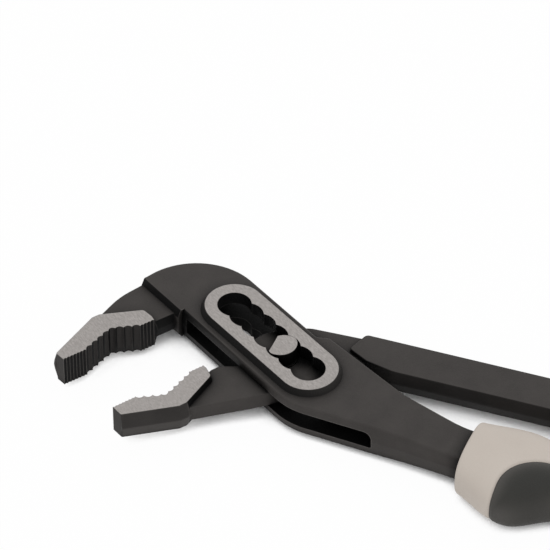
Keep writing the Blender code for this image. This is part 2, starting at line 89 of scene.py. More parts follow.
# Box of the outer half
BOX_THICKNESS = 10.4 * MM
BOX_HALF_WIDTH = 11.45 * MM
BOX_EDGE = 0.9 * MM
BOX_REAR_EDGE = 0.35 * MM
WEB_THICKNESS = 5.0 * MM
WEB_EDGE = 0.4 * MM
RIM_WIDTH = 3.75 * MM
RIM_HEIGHT = 1.9 * MM
RIM_SLOPE = 1.1 * MM
RIM_SUNK = 1.0 * MM
RIM_EDGE = 0.3 * MM
BODY_RIDGE = 0.5 * MM
BODY_SOFT = 2.0 * MM
SHOULDER_RADIUS = 20.4 * MM
SHOULDER_BACK = 6.8 * MM
STEP_TOP = 1.0 * MM
STEP_FOOT = 2.1 * MM
STEP_EDGE = 0.25 * MM
STEP_START = 0.45 * MM
STEP_SUNK = 0.02 * MM
STEP_LAP = 0.3 * MM
BOX_FLARE = 2.6 * MM
BOX_FLARE_START = 10.4 * MM
BOX_FLARE_END = 7.6 * MM
BOX_FLARE_ROUND = 1.5 * MM
CAVITY_END = 34.3 * MM
CAVITY_END_FRONT = 2.4 * MM
CAVITY_END_REAR = 0.7 * MM
CAVITY_FRONT = 3.6 * MM
CAVITY_BEND = -0.5 * MM
CAVITY_BEND_ROUND = 3 * MM
MOUTH_WALL = 4.2 * MM
MOUTH_FLOOR = 2 * MM

# Jaws, measured along the gripping line from its tip and back from it
UPPER_JAW_THICKNESS = 10.0 * MM
LOWER_JAW_THICKNESS = 9.0 * MM
UPPER_RIDGE = 1.45 * MM
LOWER_RIDGE = 1.3 * MM
UPPER_SOFT = 6.0 * MM
LOWER_SOFT = 2.0 * MM
TIP_FACING = 0.95
BACK_FACING = 0.5
TIP_ROUND = 0.6 * MM
JAW_EDGE = 0.15 * MM
JAW_TIP_REACH = 37.5 * MM
JAW_TIP_DROP = 37.5 * MM
JAW_ANGLE = radians(55)
CLOSING_ANGLE = radians(1.0)
JAW_LENGTH = 30.3 * MM
JAW_DEPTH = 10.3 * MM
JAW_BACK_START = 15.8 * MM
JAW_BACK_END = 18.2 * MM
JAW_CORNER = 1.5 * MM
JAW_HEEL_WIDTH = 5.0 * MM
HEEL_SHORT = 0.4 * MM
HEEL_NOSE = 1.5 * MM
HEEL_NOSE_PROUD = 0.2 * MM
HEEL_NOSE_ROUND = 0.8 * MM
TIP_FLAT = 7.5 * MM
HEEL_FLAT = 4.7 * MM
UPPER_LINE = -0.3 * MM
LOWER_LINE = 0.15 * MM
UPPER_VEE = (17.9 * MM, 3.3 * MM)
LOWER_VEE = (15.2 * MM, 4.0 * MM)
UPPER_TIP_BACK = (-0.5 * MM, 3.1 * MM)
LOWER_TIP_BACK = (0.3 * MM, 4.1 * MM)
COARSE_PITCH = 2.45 * MM
COARSE_DEPTH = 0.65 * MM
VEE_HOLLOW = 0.35 * MM
VEE_RISE = 0.43 * MM
FINE_PITCH = 1.08 * MM
FINE_DEPTH = 0.25 * MM
GROOVE_STEPS = 10
GROOVE_SHARE = 0.98
GROOVE_PAST = 1 * MM
VEE_GROOVE = 0.46

# Neck of the upper jaw and arm of the lower one
NECK_THICKNESS = 6.3 * MM
NECK_RIDGE = 0.3 * MM
NECK_SOFT = 1.5 * MM
NECK_EDGE = 0.4 * MM
NECK_SETBACK = 0.6 * MM
NECK_LAP = 3 * MM
NECK_BEND = 2.5 * MM
NECK_BEND_BACK = 1.2 * MM
NECK_FRONT_START = 1 * MM
NECK_FRONT_END = 7 * MM
NECK_FRONT_ROUND = 1 * MM
NECK_END = 2.4 * MM
NECK_TOP_INSET = 1.2 * MM
NECK_BACK_INSET = 0.5 * MM
NECK_BACK_LAP = 1 * MM
NECK_BACK_FULL = 4.9 * MM
NECK_BACK_ROUND = 25 * MM
NECK_ROOT = 2 * MM
NECK_ROOT_SUNK = 0.1 * MM
NECK_ROOT_FRONT = 0.5 * MM
ARM_SETBACK = 1.2 * MM
ARM_DROP = 15.5 * MM
ARM_DROP_AT = 1 * MM
ARM_DROP_ROUND = 60 * MM
ARM_BEHIND = 0.5 * MM
ARM_PROUD = 0.6 * MM
ARM_LAP = 5 * MM
ARM_FRONT_LAP = 2 * MM
ARM_FRONT_BACK = 2.5 * MM
ARM_FRONT_END = 4.7 * MM
ARM_FRONT_ROUND = 0.8 * MM

# Web and handles
EYE_WALL = 7.15 * MM
EYE_START = radians(218)
EYE_END = radians(120)
EYE_RUN = 9 * MM
EYE_RUN_ROUND = 8 * MM
WEB_REACH = 8 * MM
WEB_INSET = 0.6 * MM
WEB_LOW_REACH = 3.5 * MM
WEB_LOW_INSET = 1.5 * MM
WEB_CLEAR = 0.4 * MM
HANDLE_WIDTH = 12.0 * MM
HANDLE_RIDGE = 1.0 * MM
HANDLE_SOFT = 2.0 * MM
HANDLE_EDGE = 0.35 * MM
HANDLE_CLEAR = 5.3 * MM
HANDLE_FRONT = 66 * MM
HANDLE_FRONT_ROUND = 1.5 * MM
HANDLE_NOSE_AT = 9.5 * MM
HANDLE_NOSE_ROUND = 1 * MM
HANDLE_HEEL_AT = 16.3 * MM
HANDLE_HEEL_CLEAR = 0.5 * MM
HANDLE_HEEL_ROUND = 2.5 * MM
HANDLE_BEND = 12 * MM
HANDLE_BEND_ROUND = 10 * MM
HANDLE_SHOULDER = 11.1 * MM
HANDLE_SHOULDER_AT = -24 * MM
HANDLE_SHOULDER_ROUND = 40 * MM
HANDLE_START = -3 * MM
HANDLE_START_ROUND = 30 * MM
BELLY_RISE = 0.9 * MM
BELLY_START = -52.5 * MM
BELLY_START_ROUND = 20 * MM
BELLY_END = -19 * MM
BELLY_END_ROUND = 60 * MM
TANG_CORNER = 3 * MM
INNER_HANDLE_THICKNESS = 7.4 * MM
INNER_HANDLE_ANGLE = radians(3.05)
INNER_GRIP_AT = (85 * MM, 14.3 * MM)
OUTER_HANDLE_THICKNESS = 8.6 * MM
OUTER_HANDLE_ANGLE = radians(-1)
OUTER_GRIP_AT = (61.5 * MM, -14.8 * MM)
TAPER_START = 33 * MM
TAPER_END = 58 * MM
TAPER_CUTS = 12

# Grips, measured from their front end and out from the handle's middle
GRIP_LENGTH = 121 * MM
GRIP_HALF_WIDTH = 10.5 * MM
GRIP_HALF_THICKNESS = 7.6 * MM
GRIP_SQUARENESS = 2.7
GRIP_END_ROUND = 13 * MM
GRIP_END_SHARE = 0.35
GRIP_FRONT_ROUND = 1.1 * MM
GUARD_HEIGHT = 8.5 * MM
GUARD_AT = 17 * MM
GUARD_FRONT = 22 * MM
GUARD_REAR = 15.5 * MM
THUMB_SWELL = 2.1 * MM
THUMB_AT = 15 * MM
THUMB_FRONT = 17.5 * MM
THUMB_REAR = 12 * MM
PALM_SWELL = 0.9 * MM
PALM_AT = 84 * MM
PALM_SPREAD = 36 * MM
PAD_DEPTH = 1.6 * MM
PAD_FRONT = 13 * MM
PAD_CORNER = 12 * MM
PAD_REAR = 14 * MM
PAD_REAR_CORNER = 7 * MM
PAD_EDGE = 1.0 * MM
PAD_BORDER = 2.5 * MM
TANG_SHORT = 16 * MM
SEAM_DEPTH = 0.4 * MM
SEAM_WIDTH = 0.55 * MM
GRIP_SIDES = 160
GRIP_SAMPLES = 12
GRIP_CAP_RINGS = (0.7, 0.35, 0.08)
STATION_MARGIN = 1.5 * MM
END_STATIONS = 16
CORE_SIDES = 40
CORE_STATIONS = 40
CORE_CROWDING = 0.11

# Finish: mesh attributes of painted shade and painted highlight that materials read, and ground steel with
# its streaks' turn and its two tones
PAINTED_SHADE = "painted_shade"
PAINTED_HIGHLIGHT = "painted_highlight_mark"
GROUND_TURN = radians(35)
GROUND_TONES = ((0.25, 0.235, 0.224), (0.36, 0.338, 0.324))
GROUND_FACING = 0.99
GROUND_PLAY = 0.01 * MM
PIN_TURN = radians(80)
PIN_TONES = ((0.295, 0.275, 0.262), (0.375, 0.35, 0.335))

# Painted shade on the forgings, in hollows and on faces turned from the light: shares of it, its bounds, and
# how squarely a face has to look one way
FLAT_FACING = 0.8
SIDE_FACING = 0.6
INWARD_FACING = 0.5
RIM_SHADE = 0.4
SIDE_SHADE = 0.3
SIDE_SHADE_START = 8 * MM
SIDE_SHADE_FADE = 22 * MM
SIDE_ABOVE = 1 * MM
SIDE_BELOW = 0.3 * MM
STEP_SHADE_SHARE = 0.48
HANDLE_SHADE = 0.65
HANDLE_SHADE_WIDTH = 3 * MM
WALL_AHEAD = 0.5 * MM
WALL_FACING = (0.25, 0.2)
GRIP_FACING = 0.3
NECK_SHADE = 8 * MM
TOOTH_SHADE = 0.25
TOOTH_FACING = 0.15
FINE_TOOTH_FACING = -0.5
JAW_BACK_SHADE = 0.35
JAW_TIP_FACING = 0.7

# Studio: the camera and what it looks at, from the hinge
CAMERA_AT = Vector((308.159, -765.092, 793.266)) * MM
CAMERA_AIM = Vector((-16.597, 34.016, 0)) * MM
CAMERA_LENS = 261.8
CAMERA_CLIP = 0.05
FLOOR_SIZE = 8
FLOOR_SHADOW = 60 * MM
AMBIENT_LIGHT = 0.75
LAMPS = (("overhead", (-0.2, 0.5, 1.6), 2.6, 8), ("front", (0.8, -0.8, 0.3), 1.2, 1.5))

NOTCH_RADIUS = PIN_RADIUS + RUN_GAP + NOTCH_PLAY
FIRST_NOTCH = (1 - REST_NOTCH) * NOTCH_PITCH
LAST_NOTCH = (NOTCH_COUNT - REST_NOTCH) * NOTCH_PITCH
BOX_TOP = BOX_THICKNESS / 2
RIM_TOP = BOX_TOP + RIM_HEIGHT
WEB_TOP = WEB_THICKNESS / 2
CAVITY_TOP = WEB_TOP + RUN_GAP
EYE_RADIUS = PIN_RADIUS + EYE_WALL
BOX_NEAR = FIRST_NOTCH - EYE_RADIUS
SHOULDER_FRONT = FIRST_NOTCH - SHOULDER_BACK - SHOULDER_RADIUS
TANG_LENGTH = GRIP_LENGTH - TANG_SHORT


def plan_frame(x, y, angle):
    """Plan frame at (x, y), turned by angle: it maps along and across to a point."""
    along = Vector((cos(angle), sin(angle)))
    across = Vector((-sin(angle), cos(angle)))
    return lambda a, b: Vector((x, y)) + along * a + across * b


# The slot's middle line runs beside the pin, which is seated toward the handle side
slot = plan_frame(NOTCH_PLAY * sin(SLOT_ANGLE), -NOTCH_PLAY * cos(SLOT_ANGLE), SLOT_ANGLE)
outer_handle = plan_frame(*OUTER_GRIP_AT, OUTER_HANDLE_ANGLE)
inner_handle = plan_frame(*INNER_GRIP_AT, INNER_HANDLE_ANGLE)


def upper_jaw(along, back):
    """Point of the upper jaw, which closes against the lower one with the pin in the first notch."""
    pin = Vector((FIRST_NOTCH * cos(SLOT_ANGLE), FIRST_NOTCH * sin(SLOT_ANGLE)))
    return pin + plan_frame(-JAW_TIP_REACH, -JAW_TIP_DROP, JAW_ANGLE)(along, back)


def lower_jaw(along, back):
    """Point of the lower jaw, opened from the closed position by the closing angle."""
    closed = plan_frame(-JAW_TIP_REACH, -JAW_TIP_DROP, JAW_ANGLE)(along, -back - JAW_GAP)
    return Matrix.Rotation(CLOSING_ANGLE, 2) @ closed


Jaw = namedtuple("Jaw", "name place thickness ridge soft line vee tip_back")
UPPER = Jaw(
    name="upper_jaw",
    place=upper_jaw,
    thickness=UPPER_JAW_THICKNESS,
    ridge=UPPER_RIDGE,
    soft=UPPER_SOFT,
    line=UPPER_LINE,
    vee=UPPER_VEE,
    tip_back=UPPER_TIP_BACK,
)
LOWER = Jaw(
    name="lower_jaw",
    place=lower_jaw,
    thickness=LOWER_JAW_THICKNESS,
    ridge=LOWER_RIDGE,
    soft=LOWER_SOFT,
    line=LOWER_LINE,
    vee=LOWER_VEE,
    tip_back=LOWER_TIP_BACK,
)


def at_height(point, height):
    """Plan point at a height."""
    return Vector((point.x, point.y, height))


# Outlines and solids


def arc(centre, radius, start, end, step=ARC_STEP):
    """Points along an arc from one angle to another, both included."""
    steps = max(1, ceil(abs(end - start) / step))
    turns = [start + (end - start) * i / steps for i in range(steps + 1)]
    return [centre + Vector((cos(turn), sin(turn))) * radius for turn in turns]


def plain(points):
    """Corners that stay sharp."""
    return [(point, 0) for point in points]


def rounded(corners, step=ARC_STEP):
    """Closed outline through (point, radius) corners, each rounded by an arc."""
    corners = [(Vector(point), radius) for point, radius in corners]
    outline = []
    for i, (corner, radius) in enumerate(corners):
        if radius == 0:
            outline.append(corner)
            continue
        before = (corners[i - 1][0] - corner).normalized()
        after = (corners[(i + 1) % len(corners)][0] - corner).normalized()
        half_angle = before.angle(after) / 2
        centre = corner + (before + after).normalized() * radius / sin(half_angle)
        first = corner + before * radius / tan(half_angle) - centre
        last = corner + after * radius / tan(half_angle) - centre
        start = atan2(first.y, first.x)
        sweep = (atan2(last.y, last.x) - start + pi) % (2 * pi) - pi
        outline += arc(centre, radius, start, start + sweep, step)
    return outline


def spread_outline(outline, shifts):
    """Outline with each edge moved outward by its own shift."""
    pairs = list(zip(outline, outline[1:] + outline[:1]))
    turn = copysign(1, sum(a.x * b.y - a.y * b.x for a, b in pairs))
    normals = [Vector((b.y - a.y, a.x - b.x)).normalized() * turn for a, b in pairs]
    spread = []
    for i, point in enumerate(outline):
        first, second = normals[i - 1], normals[i]
        shift, next_shift = shifts[i - 1], shifts[i]
        cross = first.x * second.y - first.y * second.x
        if abs(cross) < NEARLY_STRAIGHT:
            spread.append(point + (first + second).normalized() * (shift + next_shift) / 2)
        else:
            x = (shift * second.y - next_shift * first.y) / cross
            y = (next_shift * first.x - shift * second.x) / cross
            spread.append(point + Vector((x, y)))
    return spread


def skin(name, rings, closed=False):
    """Mesh over rings of points, with its end rings filled, or its last ring joined to the first."""
    shape = bmesh.new()
    loops = [[shape.verts.new(point) for point in ring] for ring in rings]
    pairs = list(zip(loops, loops[1:]))
    if closed:
        pairs.append((loops[-1], loops[0]))
    else:
        shape.faces.new(loops[0])
        shape.faces.new(loops[-1])
    for lower, upper in pairs:
        for i in range(len(lower)):
            shape.faces.new((lower[i - 1], lower[i], upper[i], upper[i - 1]))
    bmesh.ops.recalc_face_normals(shape, faces=shape.faces)
    mesh = bpy.data.meshes.new(name)
    shape.to_mesh(mesh)
    shape.free()
    return mesh


def prism(name, outline, levels, drafts=None):
    """Plan outline raised through (height, spread) levels; drafts scale the spread of each edge."""
    drafts = drafts or [1] * len(outline)
    rings = []
    for height, spread in levels:
        ring = spread_outline(outline, [spread * draft for draft in drafts])
        rings.append([at_height(point, height) for point in ring])
    return skin(name, rings)


def forged(thickness, ridge, soft, rear, front=None):
    """Levels of a forged section: edges rounded by the rear and front radius, and a soft ridge between."""
    top = thickness / 2
    front = front or rear
    deep = 4 * max(rear, front)
    corners = [
        ((-deep, -top), 0),
        ((0, -top), rear),
        ((ridge, 0), soft),
        ((0, top), front),
        ((-deep, top), 0),
    ]
    return [(point.y, point.x) for point in rounded(corners, EDGE_STEP)[1:-1]]


def flat_plate(half_thickness):
    """Levels of a section with straight sides."""
    return [(-half_thickness, 0), (half_thickness, 0)]


def sweep(name, section, travel):
    """Closed section of 3D points moved along a vector."""
    return skin(name, [section, [point + travel for point in section]])


# Objects, nodes, and modifiers turned into plain meshes


def new_object(data):
    """Object that holds a mesh, a lamp or a camera and has its name."""
    body = bpy.data.objects.new(data.name, data)
    bpy.context.collection.objects.link(body)
    return body


def settled(name, body, *cutters):
    """Plain mesh of an object with its modifiers applied; the object and its cutters go."""
    depsgraph = bpy.context.evaluated_depsgraph_get()
    mesh = bpy.data.meshes.new_from_object(body.evaluated_get(depsgraph))
    for item in (body, *cutters):
        bpy.data.meshes.remove(item.data)
    mesh.name = name
    return mesh


def combined(operation, first, *others):
    """Boolean of a mesh with others, one after another."""
    name = first.name
    body = new_object(first)
    cutters = [new_object(other) for other in others]
    for cutter in cutters:
        step = body.modifiers.new(cutter.name, "BOOLEAN")
        step.operation = operation
        step.object = cutter
        step.solver = "EXACT"
    return settled(name, body, *cutters)


def add_node(tree, kind, inputs=None, **settings):
    """Node with its settings, and its inputs linked to outputs or set to values."""
    made = tree.nodes.new(kind)
    for name, value in settings.items():
        setattr(made, name, value)
    for name, value in (inputs or {}).items():
        if isinstance(value, bpy.types.NodeSocket):
            tree.links.new(value, made.inputs[name])
        else:
            made.inputs[name].default_value = value
    return made


def row_tree():
    """Geometry Nodes tree that repeats its own geometry along a straight row."""
    tree = bpy.data.node_groups.new("repeat_in_row", "GeometryNodeTree")
    inputs = {"Geometry": "Geometry", "Count": "Int", "Offset": "Vector", "Material": "Material"}
    for name, kind in inputs.items():
        tree.interface.new_socket(name, in_out="INPUT", socket_type=f"NodeSocket{kind}")
    tree.interface.new_socket("Geometry", in_out="OUTPUT", socket_type="NodeSocketGeometry")
    given = add_node(tree, "NodeGroupInput").outputs
    spots = add_node(tree, "GeometryNodeMeshLine", {"Count": given["Count"], "Offset": given["Offset"]})
    pattern = {"Points": spots.outputs["Mesh"], "Instance": given["Geometry"]}
    copies = add_node(tree, "GeometryNodeInstanceOnPoints", pattern)
    real = add_node(tree, "GeometryNodeRealizeInstances", {"Geometry": copies.outputs["Instances"]})
    coated = {"Geometry": real.outputs["Geometry"], "Material": given["Material"]}
    painted = add_node(tree, "GeometryNodeSetMaterial", coated)
    add_node(tree, "NodeGroupOutput", {"Geometry": painted.outputs["Geometry"]})
    return tree


def in_row(tree, mesh, count, offset, surface):
    """Mesh repeated along a row by the Geometry Nodes tree."""
    body = new_object(mesh)
    step = body.modifiers.new("row", "NODES")
    step.node_group = tree
    values = {"Count": count, "Offset": tuple(offset), "Material": surface}
    for socket in tree.interface.items_tree:
        if socket.in_out == "INPUT" and socket.name in values:
            step[socket.identifier] = values[socket.name]
    return settled(f"{mesh.name}_row", body)


# Jaws


def hollow(width, depth, rise):
    """Round-bottomed groove between two sharp teeth, across from its middle and down into the jaw."""
    shares = [GROOVE_SHARE * (2 * i / GROOVE_STEPS - 1) for i in range(GROOVE_STEPS + 1)]
    return [Vector((share * width / 2, depth - (depth + rise) * share**2)) for share in shares]


def groove_row(jaw, tree, start, end, pitch, depth, rise, spare, surface):
    """Row of grooves along a gripping line, which leaves a spare share of a step free at its end."""
    count = max(1, round((end - start).length / pitch - spare))
    step = (end - start) / (count + spare)
    along = step.normalized()
    back = Vector((-along.y, along.x)) * copysign(1, along.x)
    profile = hollow(step.length, depth, rise)
    above = -rise - GROOVE_PAST
    section = [Vector((profile[0].x, above))] + profile + [Vector((profile[-1].x, above))]
    points = [start + step / 2 + along * point.x + back * point.y for point in section]
    ring = [jaw.place(*point) for point in points]
    groove = prism("groove", ring, flat_plate(jaw.thickness / 2 + GROOVE_PAST))
    offset = jaw.place(*(start + step)) - jaw.place(*start)
    return in_row(tree, groove, count, offset.to_3d(), surface)


def jaw_drafts(outline, straight):
    """Share of the ridge on each edge of a jaw: none on the gripping line, and none on the flat tip."""
    drafts = [0] * straight
    for start, end in zip(outline[straight:], outline[straight + 1 :] + outline[:1]):
        facing = (end.y - start.y) / (end - start).length
        drafts.append(min(1, max(0, (facing + TIP_FACING) / (TIP_FACING - BACK_FACING))))
    return drafts


def jaw_mesh(jaw, tree, surface):
    """Jaw head with fine teeth at tip and heel and coarse ones in its vee, in place on its half."""
    tip = Vector((0, jaw.line))
    tip_end = Vector((TIP_FLAT, jaw.line))
    vee = Vector(jaw.vee)
    heel_start = Vector((JAW_LENGTH - HEEL_FLAT, jaw.line))
    heel = Vector((JAW_LENGTH, jaw.line))
    grip = [tip, tip_end, vee, heel_start, heel]
    back = [
        ((JAW_LENGTH + HEEL_NOSE_PROUD, HEEL_NOSE), HEEL_NOSE_ROUND),
        ((JAW_LENGTH - HEEL_SHORT, JAW_HEEL_WIDTH), JAW_CORNER),
        ((JAW_BACK_END, JAW_DEPTH), JAW_CORNER),
        ((JAW_BACK_START, JAW_DEPTH), JAW_CORNER),
        (jaw.tip_back, TIP_ROUND),
    ]
    outline = rounded(plain(grip) + back)
    drafts = jaw_drafts(outline, len(grip) - 1)
    outline = [jaw.place(*point) for point in outline]
    head = prism(jaw.name, outline, forged(jaw.thickness, jaw.ridge, jaw.soft, JAW_EDGE), drafts)
    half = Vector((VEE_GROOVE * COARSE_PITCH, 0))
    rows = []
    for start, end, pitch, depth, rise, spare in (
        (tip, tip_end, FINE_PITCH, FINE_DEPTH, 0, 0),
        (tip_end, vee, COARSE_PITCH, COARSE_DEPTH, 0, 0.5),
        (vee - half, vee + half, COARSE_PITCH, VEE_HOLLOW, VEE_RISE, 0),
        (heel_start, vee, COARSE_PITCH, COARSE_DEPTH, 0, 0.5),
        (heel + Vector((FINE_PITCH, 0)), heel_start, FINE_PITCH, FINE_DEPTH, 0, 0),
    ):
        rows.append(groove_row(jaw, tree, start, end, pitch, depth, rise, spare, surface))
    return combined("DIFFERENCE", head, *rows)


# Outer half


def racetrack(radius):
    """Round-ended outline around the whole slot."""
    first = arc(slot(FIRST_NOTCH, 0), radius, SLOT_ANGLE + pi / 2, SLOT_ANGLE + 1.5 * pi)
    last = arc(slot(LAST_NOTCH, 0), radius, SLOT_ANGLE - pi / 2, SLOT_ANGLE + pi / 2)
    return first + last


def rim(name, side):
    """Raised rim around the slot on one face of the box, with a steep wall and a ground top."""
    corners = [
        ((RIM_SLOPE * (1 + RIM_SUNK / RIM_HEIGHT), BOX_TOP - RIM_SUNK), 0),
        ((0, RIM_TOP), RIM_EDGE),
        ((-2 * RIM_EDGE, RIM_TOP), 0),
    ]
    profile = rounded(corners, EDGE_STEP)[:-1]
    levels = [(side * point.y, point.x) for point in profile]
    return prism(name, racetrack(NOTCH_RADIUS + RIM_WIDTH), levels)


def shoulder_end():
    """Angle, from the slot's direction, where the shoulder's arc comes down to the box's front side."""
    return pi - atan2(SHOULDER_RADIUS - 2 * BOX_HALF_WIDTH, SHOULDER_RADIUS)


def body_outline():
    """Box with its round shoulder, narrowing to the outer handle and its tang."""
    half = HANDLE_WIDTH / 2
    side = BOX_HALF_WIDTH
    centre = slot(FIRST_NOTCH - SHOULDER_BACK, side - SHOULDER_RADIUS)
    shoulder = arc(centre, SHOULDER_RADIUS, SLOT_ANGLE + pi / 2, SLOT_ANGLE + shoulder_end())
    corners = plain(shoulder) + [
        (outer_handle(BELLY_START, -half + BELLY_RISE), BELLY_START_ROUND),
        (outer_handle(BELLY_END, -half + BELLY_RISE), BELLY_END_ROUND),
        (outer_handle(HANDLE_START, -half), 0),
        (outer_handle(TANG_LENGTH, -half), TANG_CORNER),
        (outer_handle(TANG_LENGTH, half), TANG_CORNER),
        (outer_handle(HANDLE_START, half), HANDLE_START_ROUND),
        (outer_handle(HANDLE_SHOULDER_AT, HANDLE_SHOULDER), HANDLE_SHOULDER_ROUND),
        (slot(LAST_NOTCH - BOX_FLARE_END, side + BOX_FLARE), BOX_FLARE_ROUND),
        (slot(LAST_NOTCH - BOX_FLARE_START, side), BOX_FLARE_ROUND),
    ]
    return rounded(corners)


def cavity_mesh():
    """Room for the web in every notch and at every opening, with a hollow end toward the handle."""
    past = BOX_HALF_WIDTH + SHOULDER_RADIUS
    corners = [
        (slot(BOX_NEAR + MOUTH_WALL, -past), 0),
        (slot(BOX_NEAR + MOUTH_WALL, MOUTH_FLOOR - BOX_HALF_WIDTH), 0),
        (slot(BOX_NEAR - CAVITY_FRONT, CAVITY_BEND), CAVITY_BEND_ROUND),
        (slot(BOX_NEAR - CAVITY_FRONT, past), 0),
        ((CAVITY_END, past), 0),
        ((CAVITY_END, -past), 0),
    ]
    outline = rounded(corners)
    drafts = [0] * (len(outline) - 2) + [1, 0]
    deep = 4 * CAVITY_END_FRONT
    end = [
        ((-deep, -CAVITY_TOP), 0),
        ((0, -CAVITY_TOP), CAVITY_END_REAR),
        ((0, CAVITY_TOP), CAVITY_END_FRONT),
        ((-deep, CAVITY_TOP), 0),
    ]
    levels = [(point.y, point.x) for point in rounded(end, EDGE_STEP)[1:-1]]
    return prism("cavity", outline, levels, drafts)


def neck_outline():
    """Thin neck from the upper jaw up to the box."""
    side = BOX_HALF_WIDTH
    corners = [
        (upper_jaw(UPPER_VEE[0] + NECK_LAP, NECK_SETBACK + UPPER_VEE[1]), 0),
        (upper_jaw(JAW_LENGTH - NECK_BEND, NECK_SETBACK + NECK_BEND_BACK), 0),
        (upper_jaw(JAW_LENGTH + NECK_FRONT_START, NECK_SETBACK), 0),
        (upper_jaw(JAW_LENGTH + NECK_FRONT_END, NECK_SETBACK), NECK_FRONT_ROUND),
        (slot(BOX_NEAR + NECK_END, CUT_PAST - side), 0),
        (slot(SHOULDER_FRONT + NECK_TOP_INSET, CUT_PAST - side), 0),
        (slot(SHOULDER_FRONT + NECK_BACK_INSET, NECK_BACK_LAP - side), 0),
        (upper_jaw(JAW_LENGTH - NECK_BEND, JAW_DEPTH + NECK_BACK_FULL), NECK_BACK_ROUND),
        (upper_jaw(JAW_BACK_END - NECK_ROOT, JAW_DEPTH - NECK_ROOT_SUNK), 0),
        (upper_jaw(JAW_BACK_START + NECK_ROOT_FRONT, JAW_DEPTH - NECK_LAP), 0),
    ]
    return rounded(corners)


def step_mesh():
    """Block along the box's front side with a steep wall down to the neck on both faces."""
    start = SHOULDER_FRONT + STEP_START
    end = BOX_NEAR + NECK_END
    side = -BOX_HALF_WIDTH
    high = BOX_TOP - STEP_SUNK
    low = NECK_THICKNESS / 2 - STEP_LAP
    corners = [
        ((side + CUT_PAST, high), 0),
        ((side - STEP_TOP, high), STEP_EDGE),
        ((side - STEP_FOOT, low), 0),
        ((side - STEP_FOOT, -low), 0),
        ((side - STEP_TOP, -high), STEP_EDGE),
        ((side + CUT_PAST, -high), 0),
    ]
    section = [at_height(slot(start, point.x), point.y) for point in rounded(corners, EDGE_STEP)]
    travel = slot(end, 0) - slot(start, 0)
    return sweep("neck_step", section, travel.to_3d())


def thinned(mesh):
    """Body with its handle drawn down from the box's thickness to its own."""
    shape = bmesh.new()
    shape.from_mesh(mesh)
    for i in range(TAPER_CUTS + 1):
        cut = Vector((TAPER_START + (TAPER_END - TAPER_START) * i / TAPER_CUTS, 0, 0))
        everything = shape.verts[:] + shape.edges[:] + shape.faces[:]
        bmesh.ops.bisect_plane(shape, geom=everything, plane_co=cut, plane_no=Vector((1, 0, 0)))
    for vert in shape.verts:
        share = min(1, max(0, (vert.co.x - TAPER_START) / (TAPER_END - TAPER_START)))
        soft = share * share * (3 - 2 * share)
        vert.co.z *= 1 + (OUTER_HANDLE_THICKNESS / BOX_THICKNESS - 1) * soft
    shape.to_mesh(mesh)
    shape.free()
    return mesh


def notch_row(name, tree, first, surface):
    """Every second round notch of the slot, from the first one given."""
    ring = arc(slot(FIRST_NOTCH + first * NOTCH_PITCH, 0), NOTCH_RADIUS, 0, 2 * pi)[:-1]
    notch = prism(name, ring, flat_plate(RIM_TOP + CUT_PAST))
    offset = slot(2 * NOTCH_PITCH, 0) - slot(0, 0)
    return in_row(tree, notch, (NOTCH_COUNT - first + 1) // 2, offset.to_3d(), surface)


def outer_forging(tree, surface):
    """Forging with the upper jaw, the box with its notched slot, and the lower handle."""
    levels = forged(BOX_THICKNESS, BODY_RIDGE, BODY_SOFT, BOX_REAR_EDGE, BOX_EDGE)
    body = thinned(prism("outer_forging", body_outline(), levels))
    neck = prism("upper_neck", neck_outline(), forged(NECK_THICKNESS, NECK_RIDGE, NECK_SOFT, NECK_EDGE))
    jaw = jaw_mesh(UPPER, tree, surface)
    body = combined("UNION", body, step_mesh(), neck, jaw, rim("front_rim", 1), rim("rear_rim", -1))
    notches = [notch_row(f"notches_{first}", tree, first, surface) for first in (0, 1)]
    return combined("DIFFERENCE", body, cavity_mesh(), *notches)


# Inner half


def web_outline():
    """Flat web from the lower jaw, round the pin and on into the inner handle."""
    eye = arc(Vector((0, 0)), EYE_RADIUS, EYE_START, EYE_END)
    clear = BOX_HALF_WIDTH + HANDLE_CLEAR
    half = HANDLE_WIDTH / 2
    corners = [
        (lower_jaw(JAW_BACK_END + ARM_BEHIND, JAW_DEPTH + ARM_PROUD), 0),
        (lower_jaw(JAW_BACK_END + ARM_BEHIND, JAW_DEPTH - ARM_LAP), 0),
        (lower_jaw(JAW_LENGTH - ARM_FRONT_LAP, ARM_FRONT_BACK), 0),
        (lower_jaw(JAW_LENGTH + ARM_FRONT_LAP, ARM_SETBACK), ARM_FRONT_ROUND),
        (lower_jaw(JAW_LENGTH + ARM_FRONT_END, ARM_SETBACK), ARM_FRONT_ROUND),
    ]
    corners += plain(eye)
    corners += [
        (eye[-1] + Matrix.Rotation(-pi / 2, 2) @ eye[-1].normalized() * EYE_RUN, EYE_RUN_ROUND),
        (inner_handle(-HANDLE_FRONT, half - WEB_INSET), 0),
        (inner_handle(WEB_REACH - HANDLE_FRONT, 0), 0),
        (inner_handle(WEB_LOW_REACH - HANDLE_FRONT, WEB_LOW_INSET - half), 0),
        (slot(HANDLE_HEEL_AT, clear + WEB_CLEAR), 0),
        ((ARM_DROP_AT, -ARM_DROP), ARM_DROP_ROUND),
    ]
    return rounded(corners)


def inner_handle_outline():
    """Thick handle with a slanted front end that keeps clear of the box."""
    half = HANDLE_WIDTH / 2
    clear = BOX_HALF_WIDTH + HANDLE_CLEAR
    corners = [
        (slot(HANDLE_NOSE_AT, clear), HANDLE_NOSE_ROUND),
        (slot(HANDLE_HEEL_AT, clear + HANDLE_HEEL_CLEAR), HANDLE_HEEL_ROUND),
        (inner_handle(HANDLE_BEND - HANDLE_FRONT, -half), HANDLE_BEND_ROUND),
        (inner_handle(TANG_LENGTH, -half), TANG_CORNER),
        (inner_handle(TANG_LENGTH, half), TANG_CORNER),
        (inner_handle(-HANDLE_FRONT, half), HANDLE_FRONT_ROUND),
    ]
    return rounded(corners)


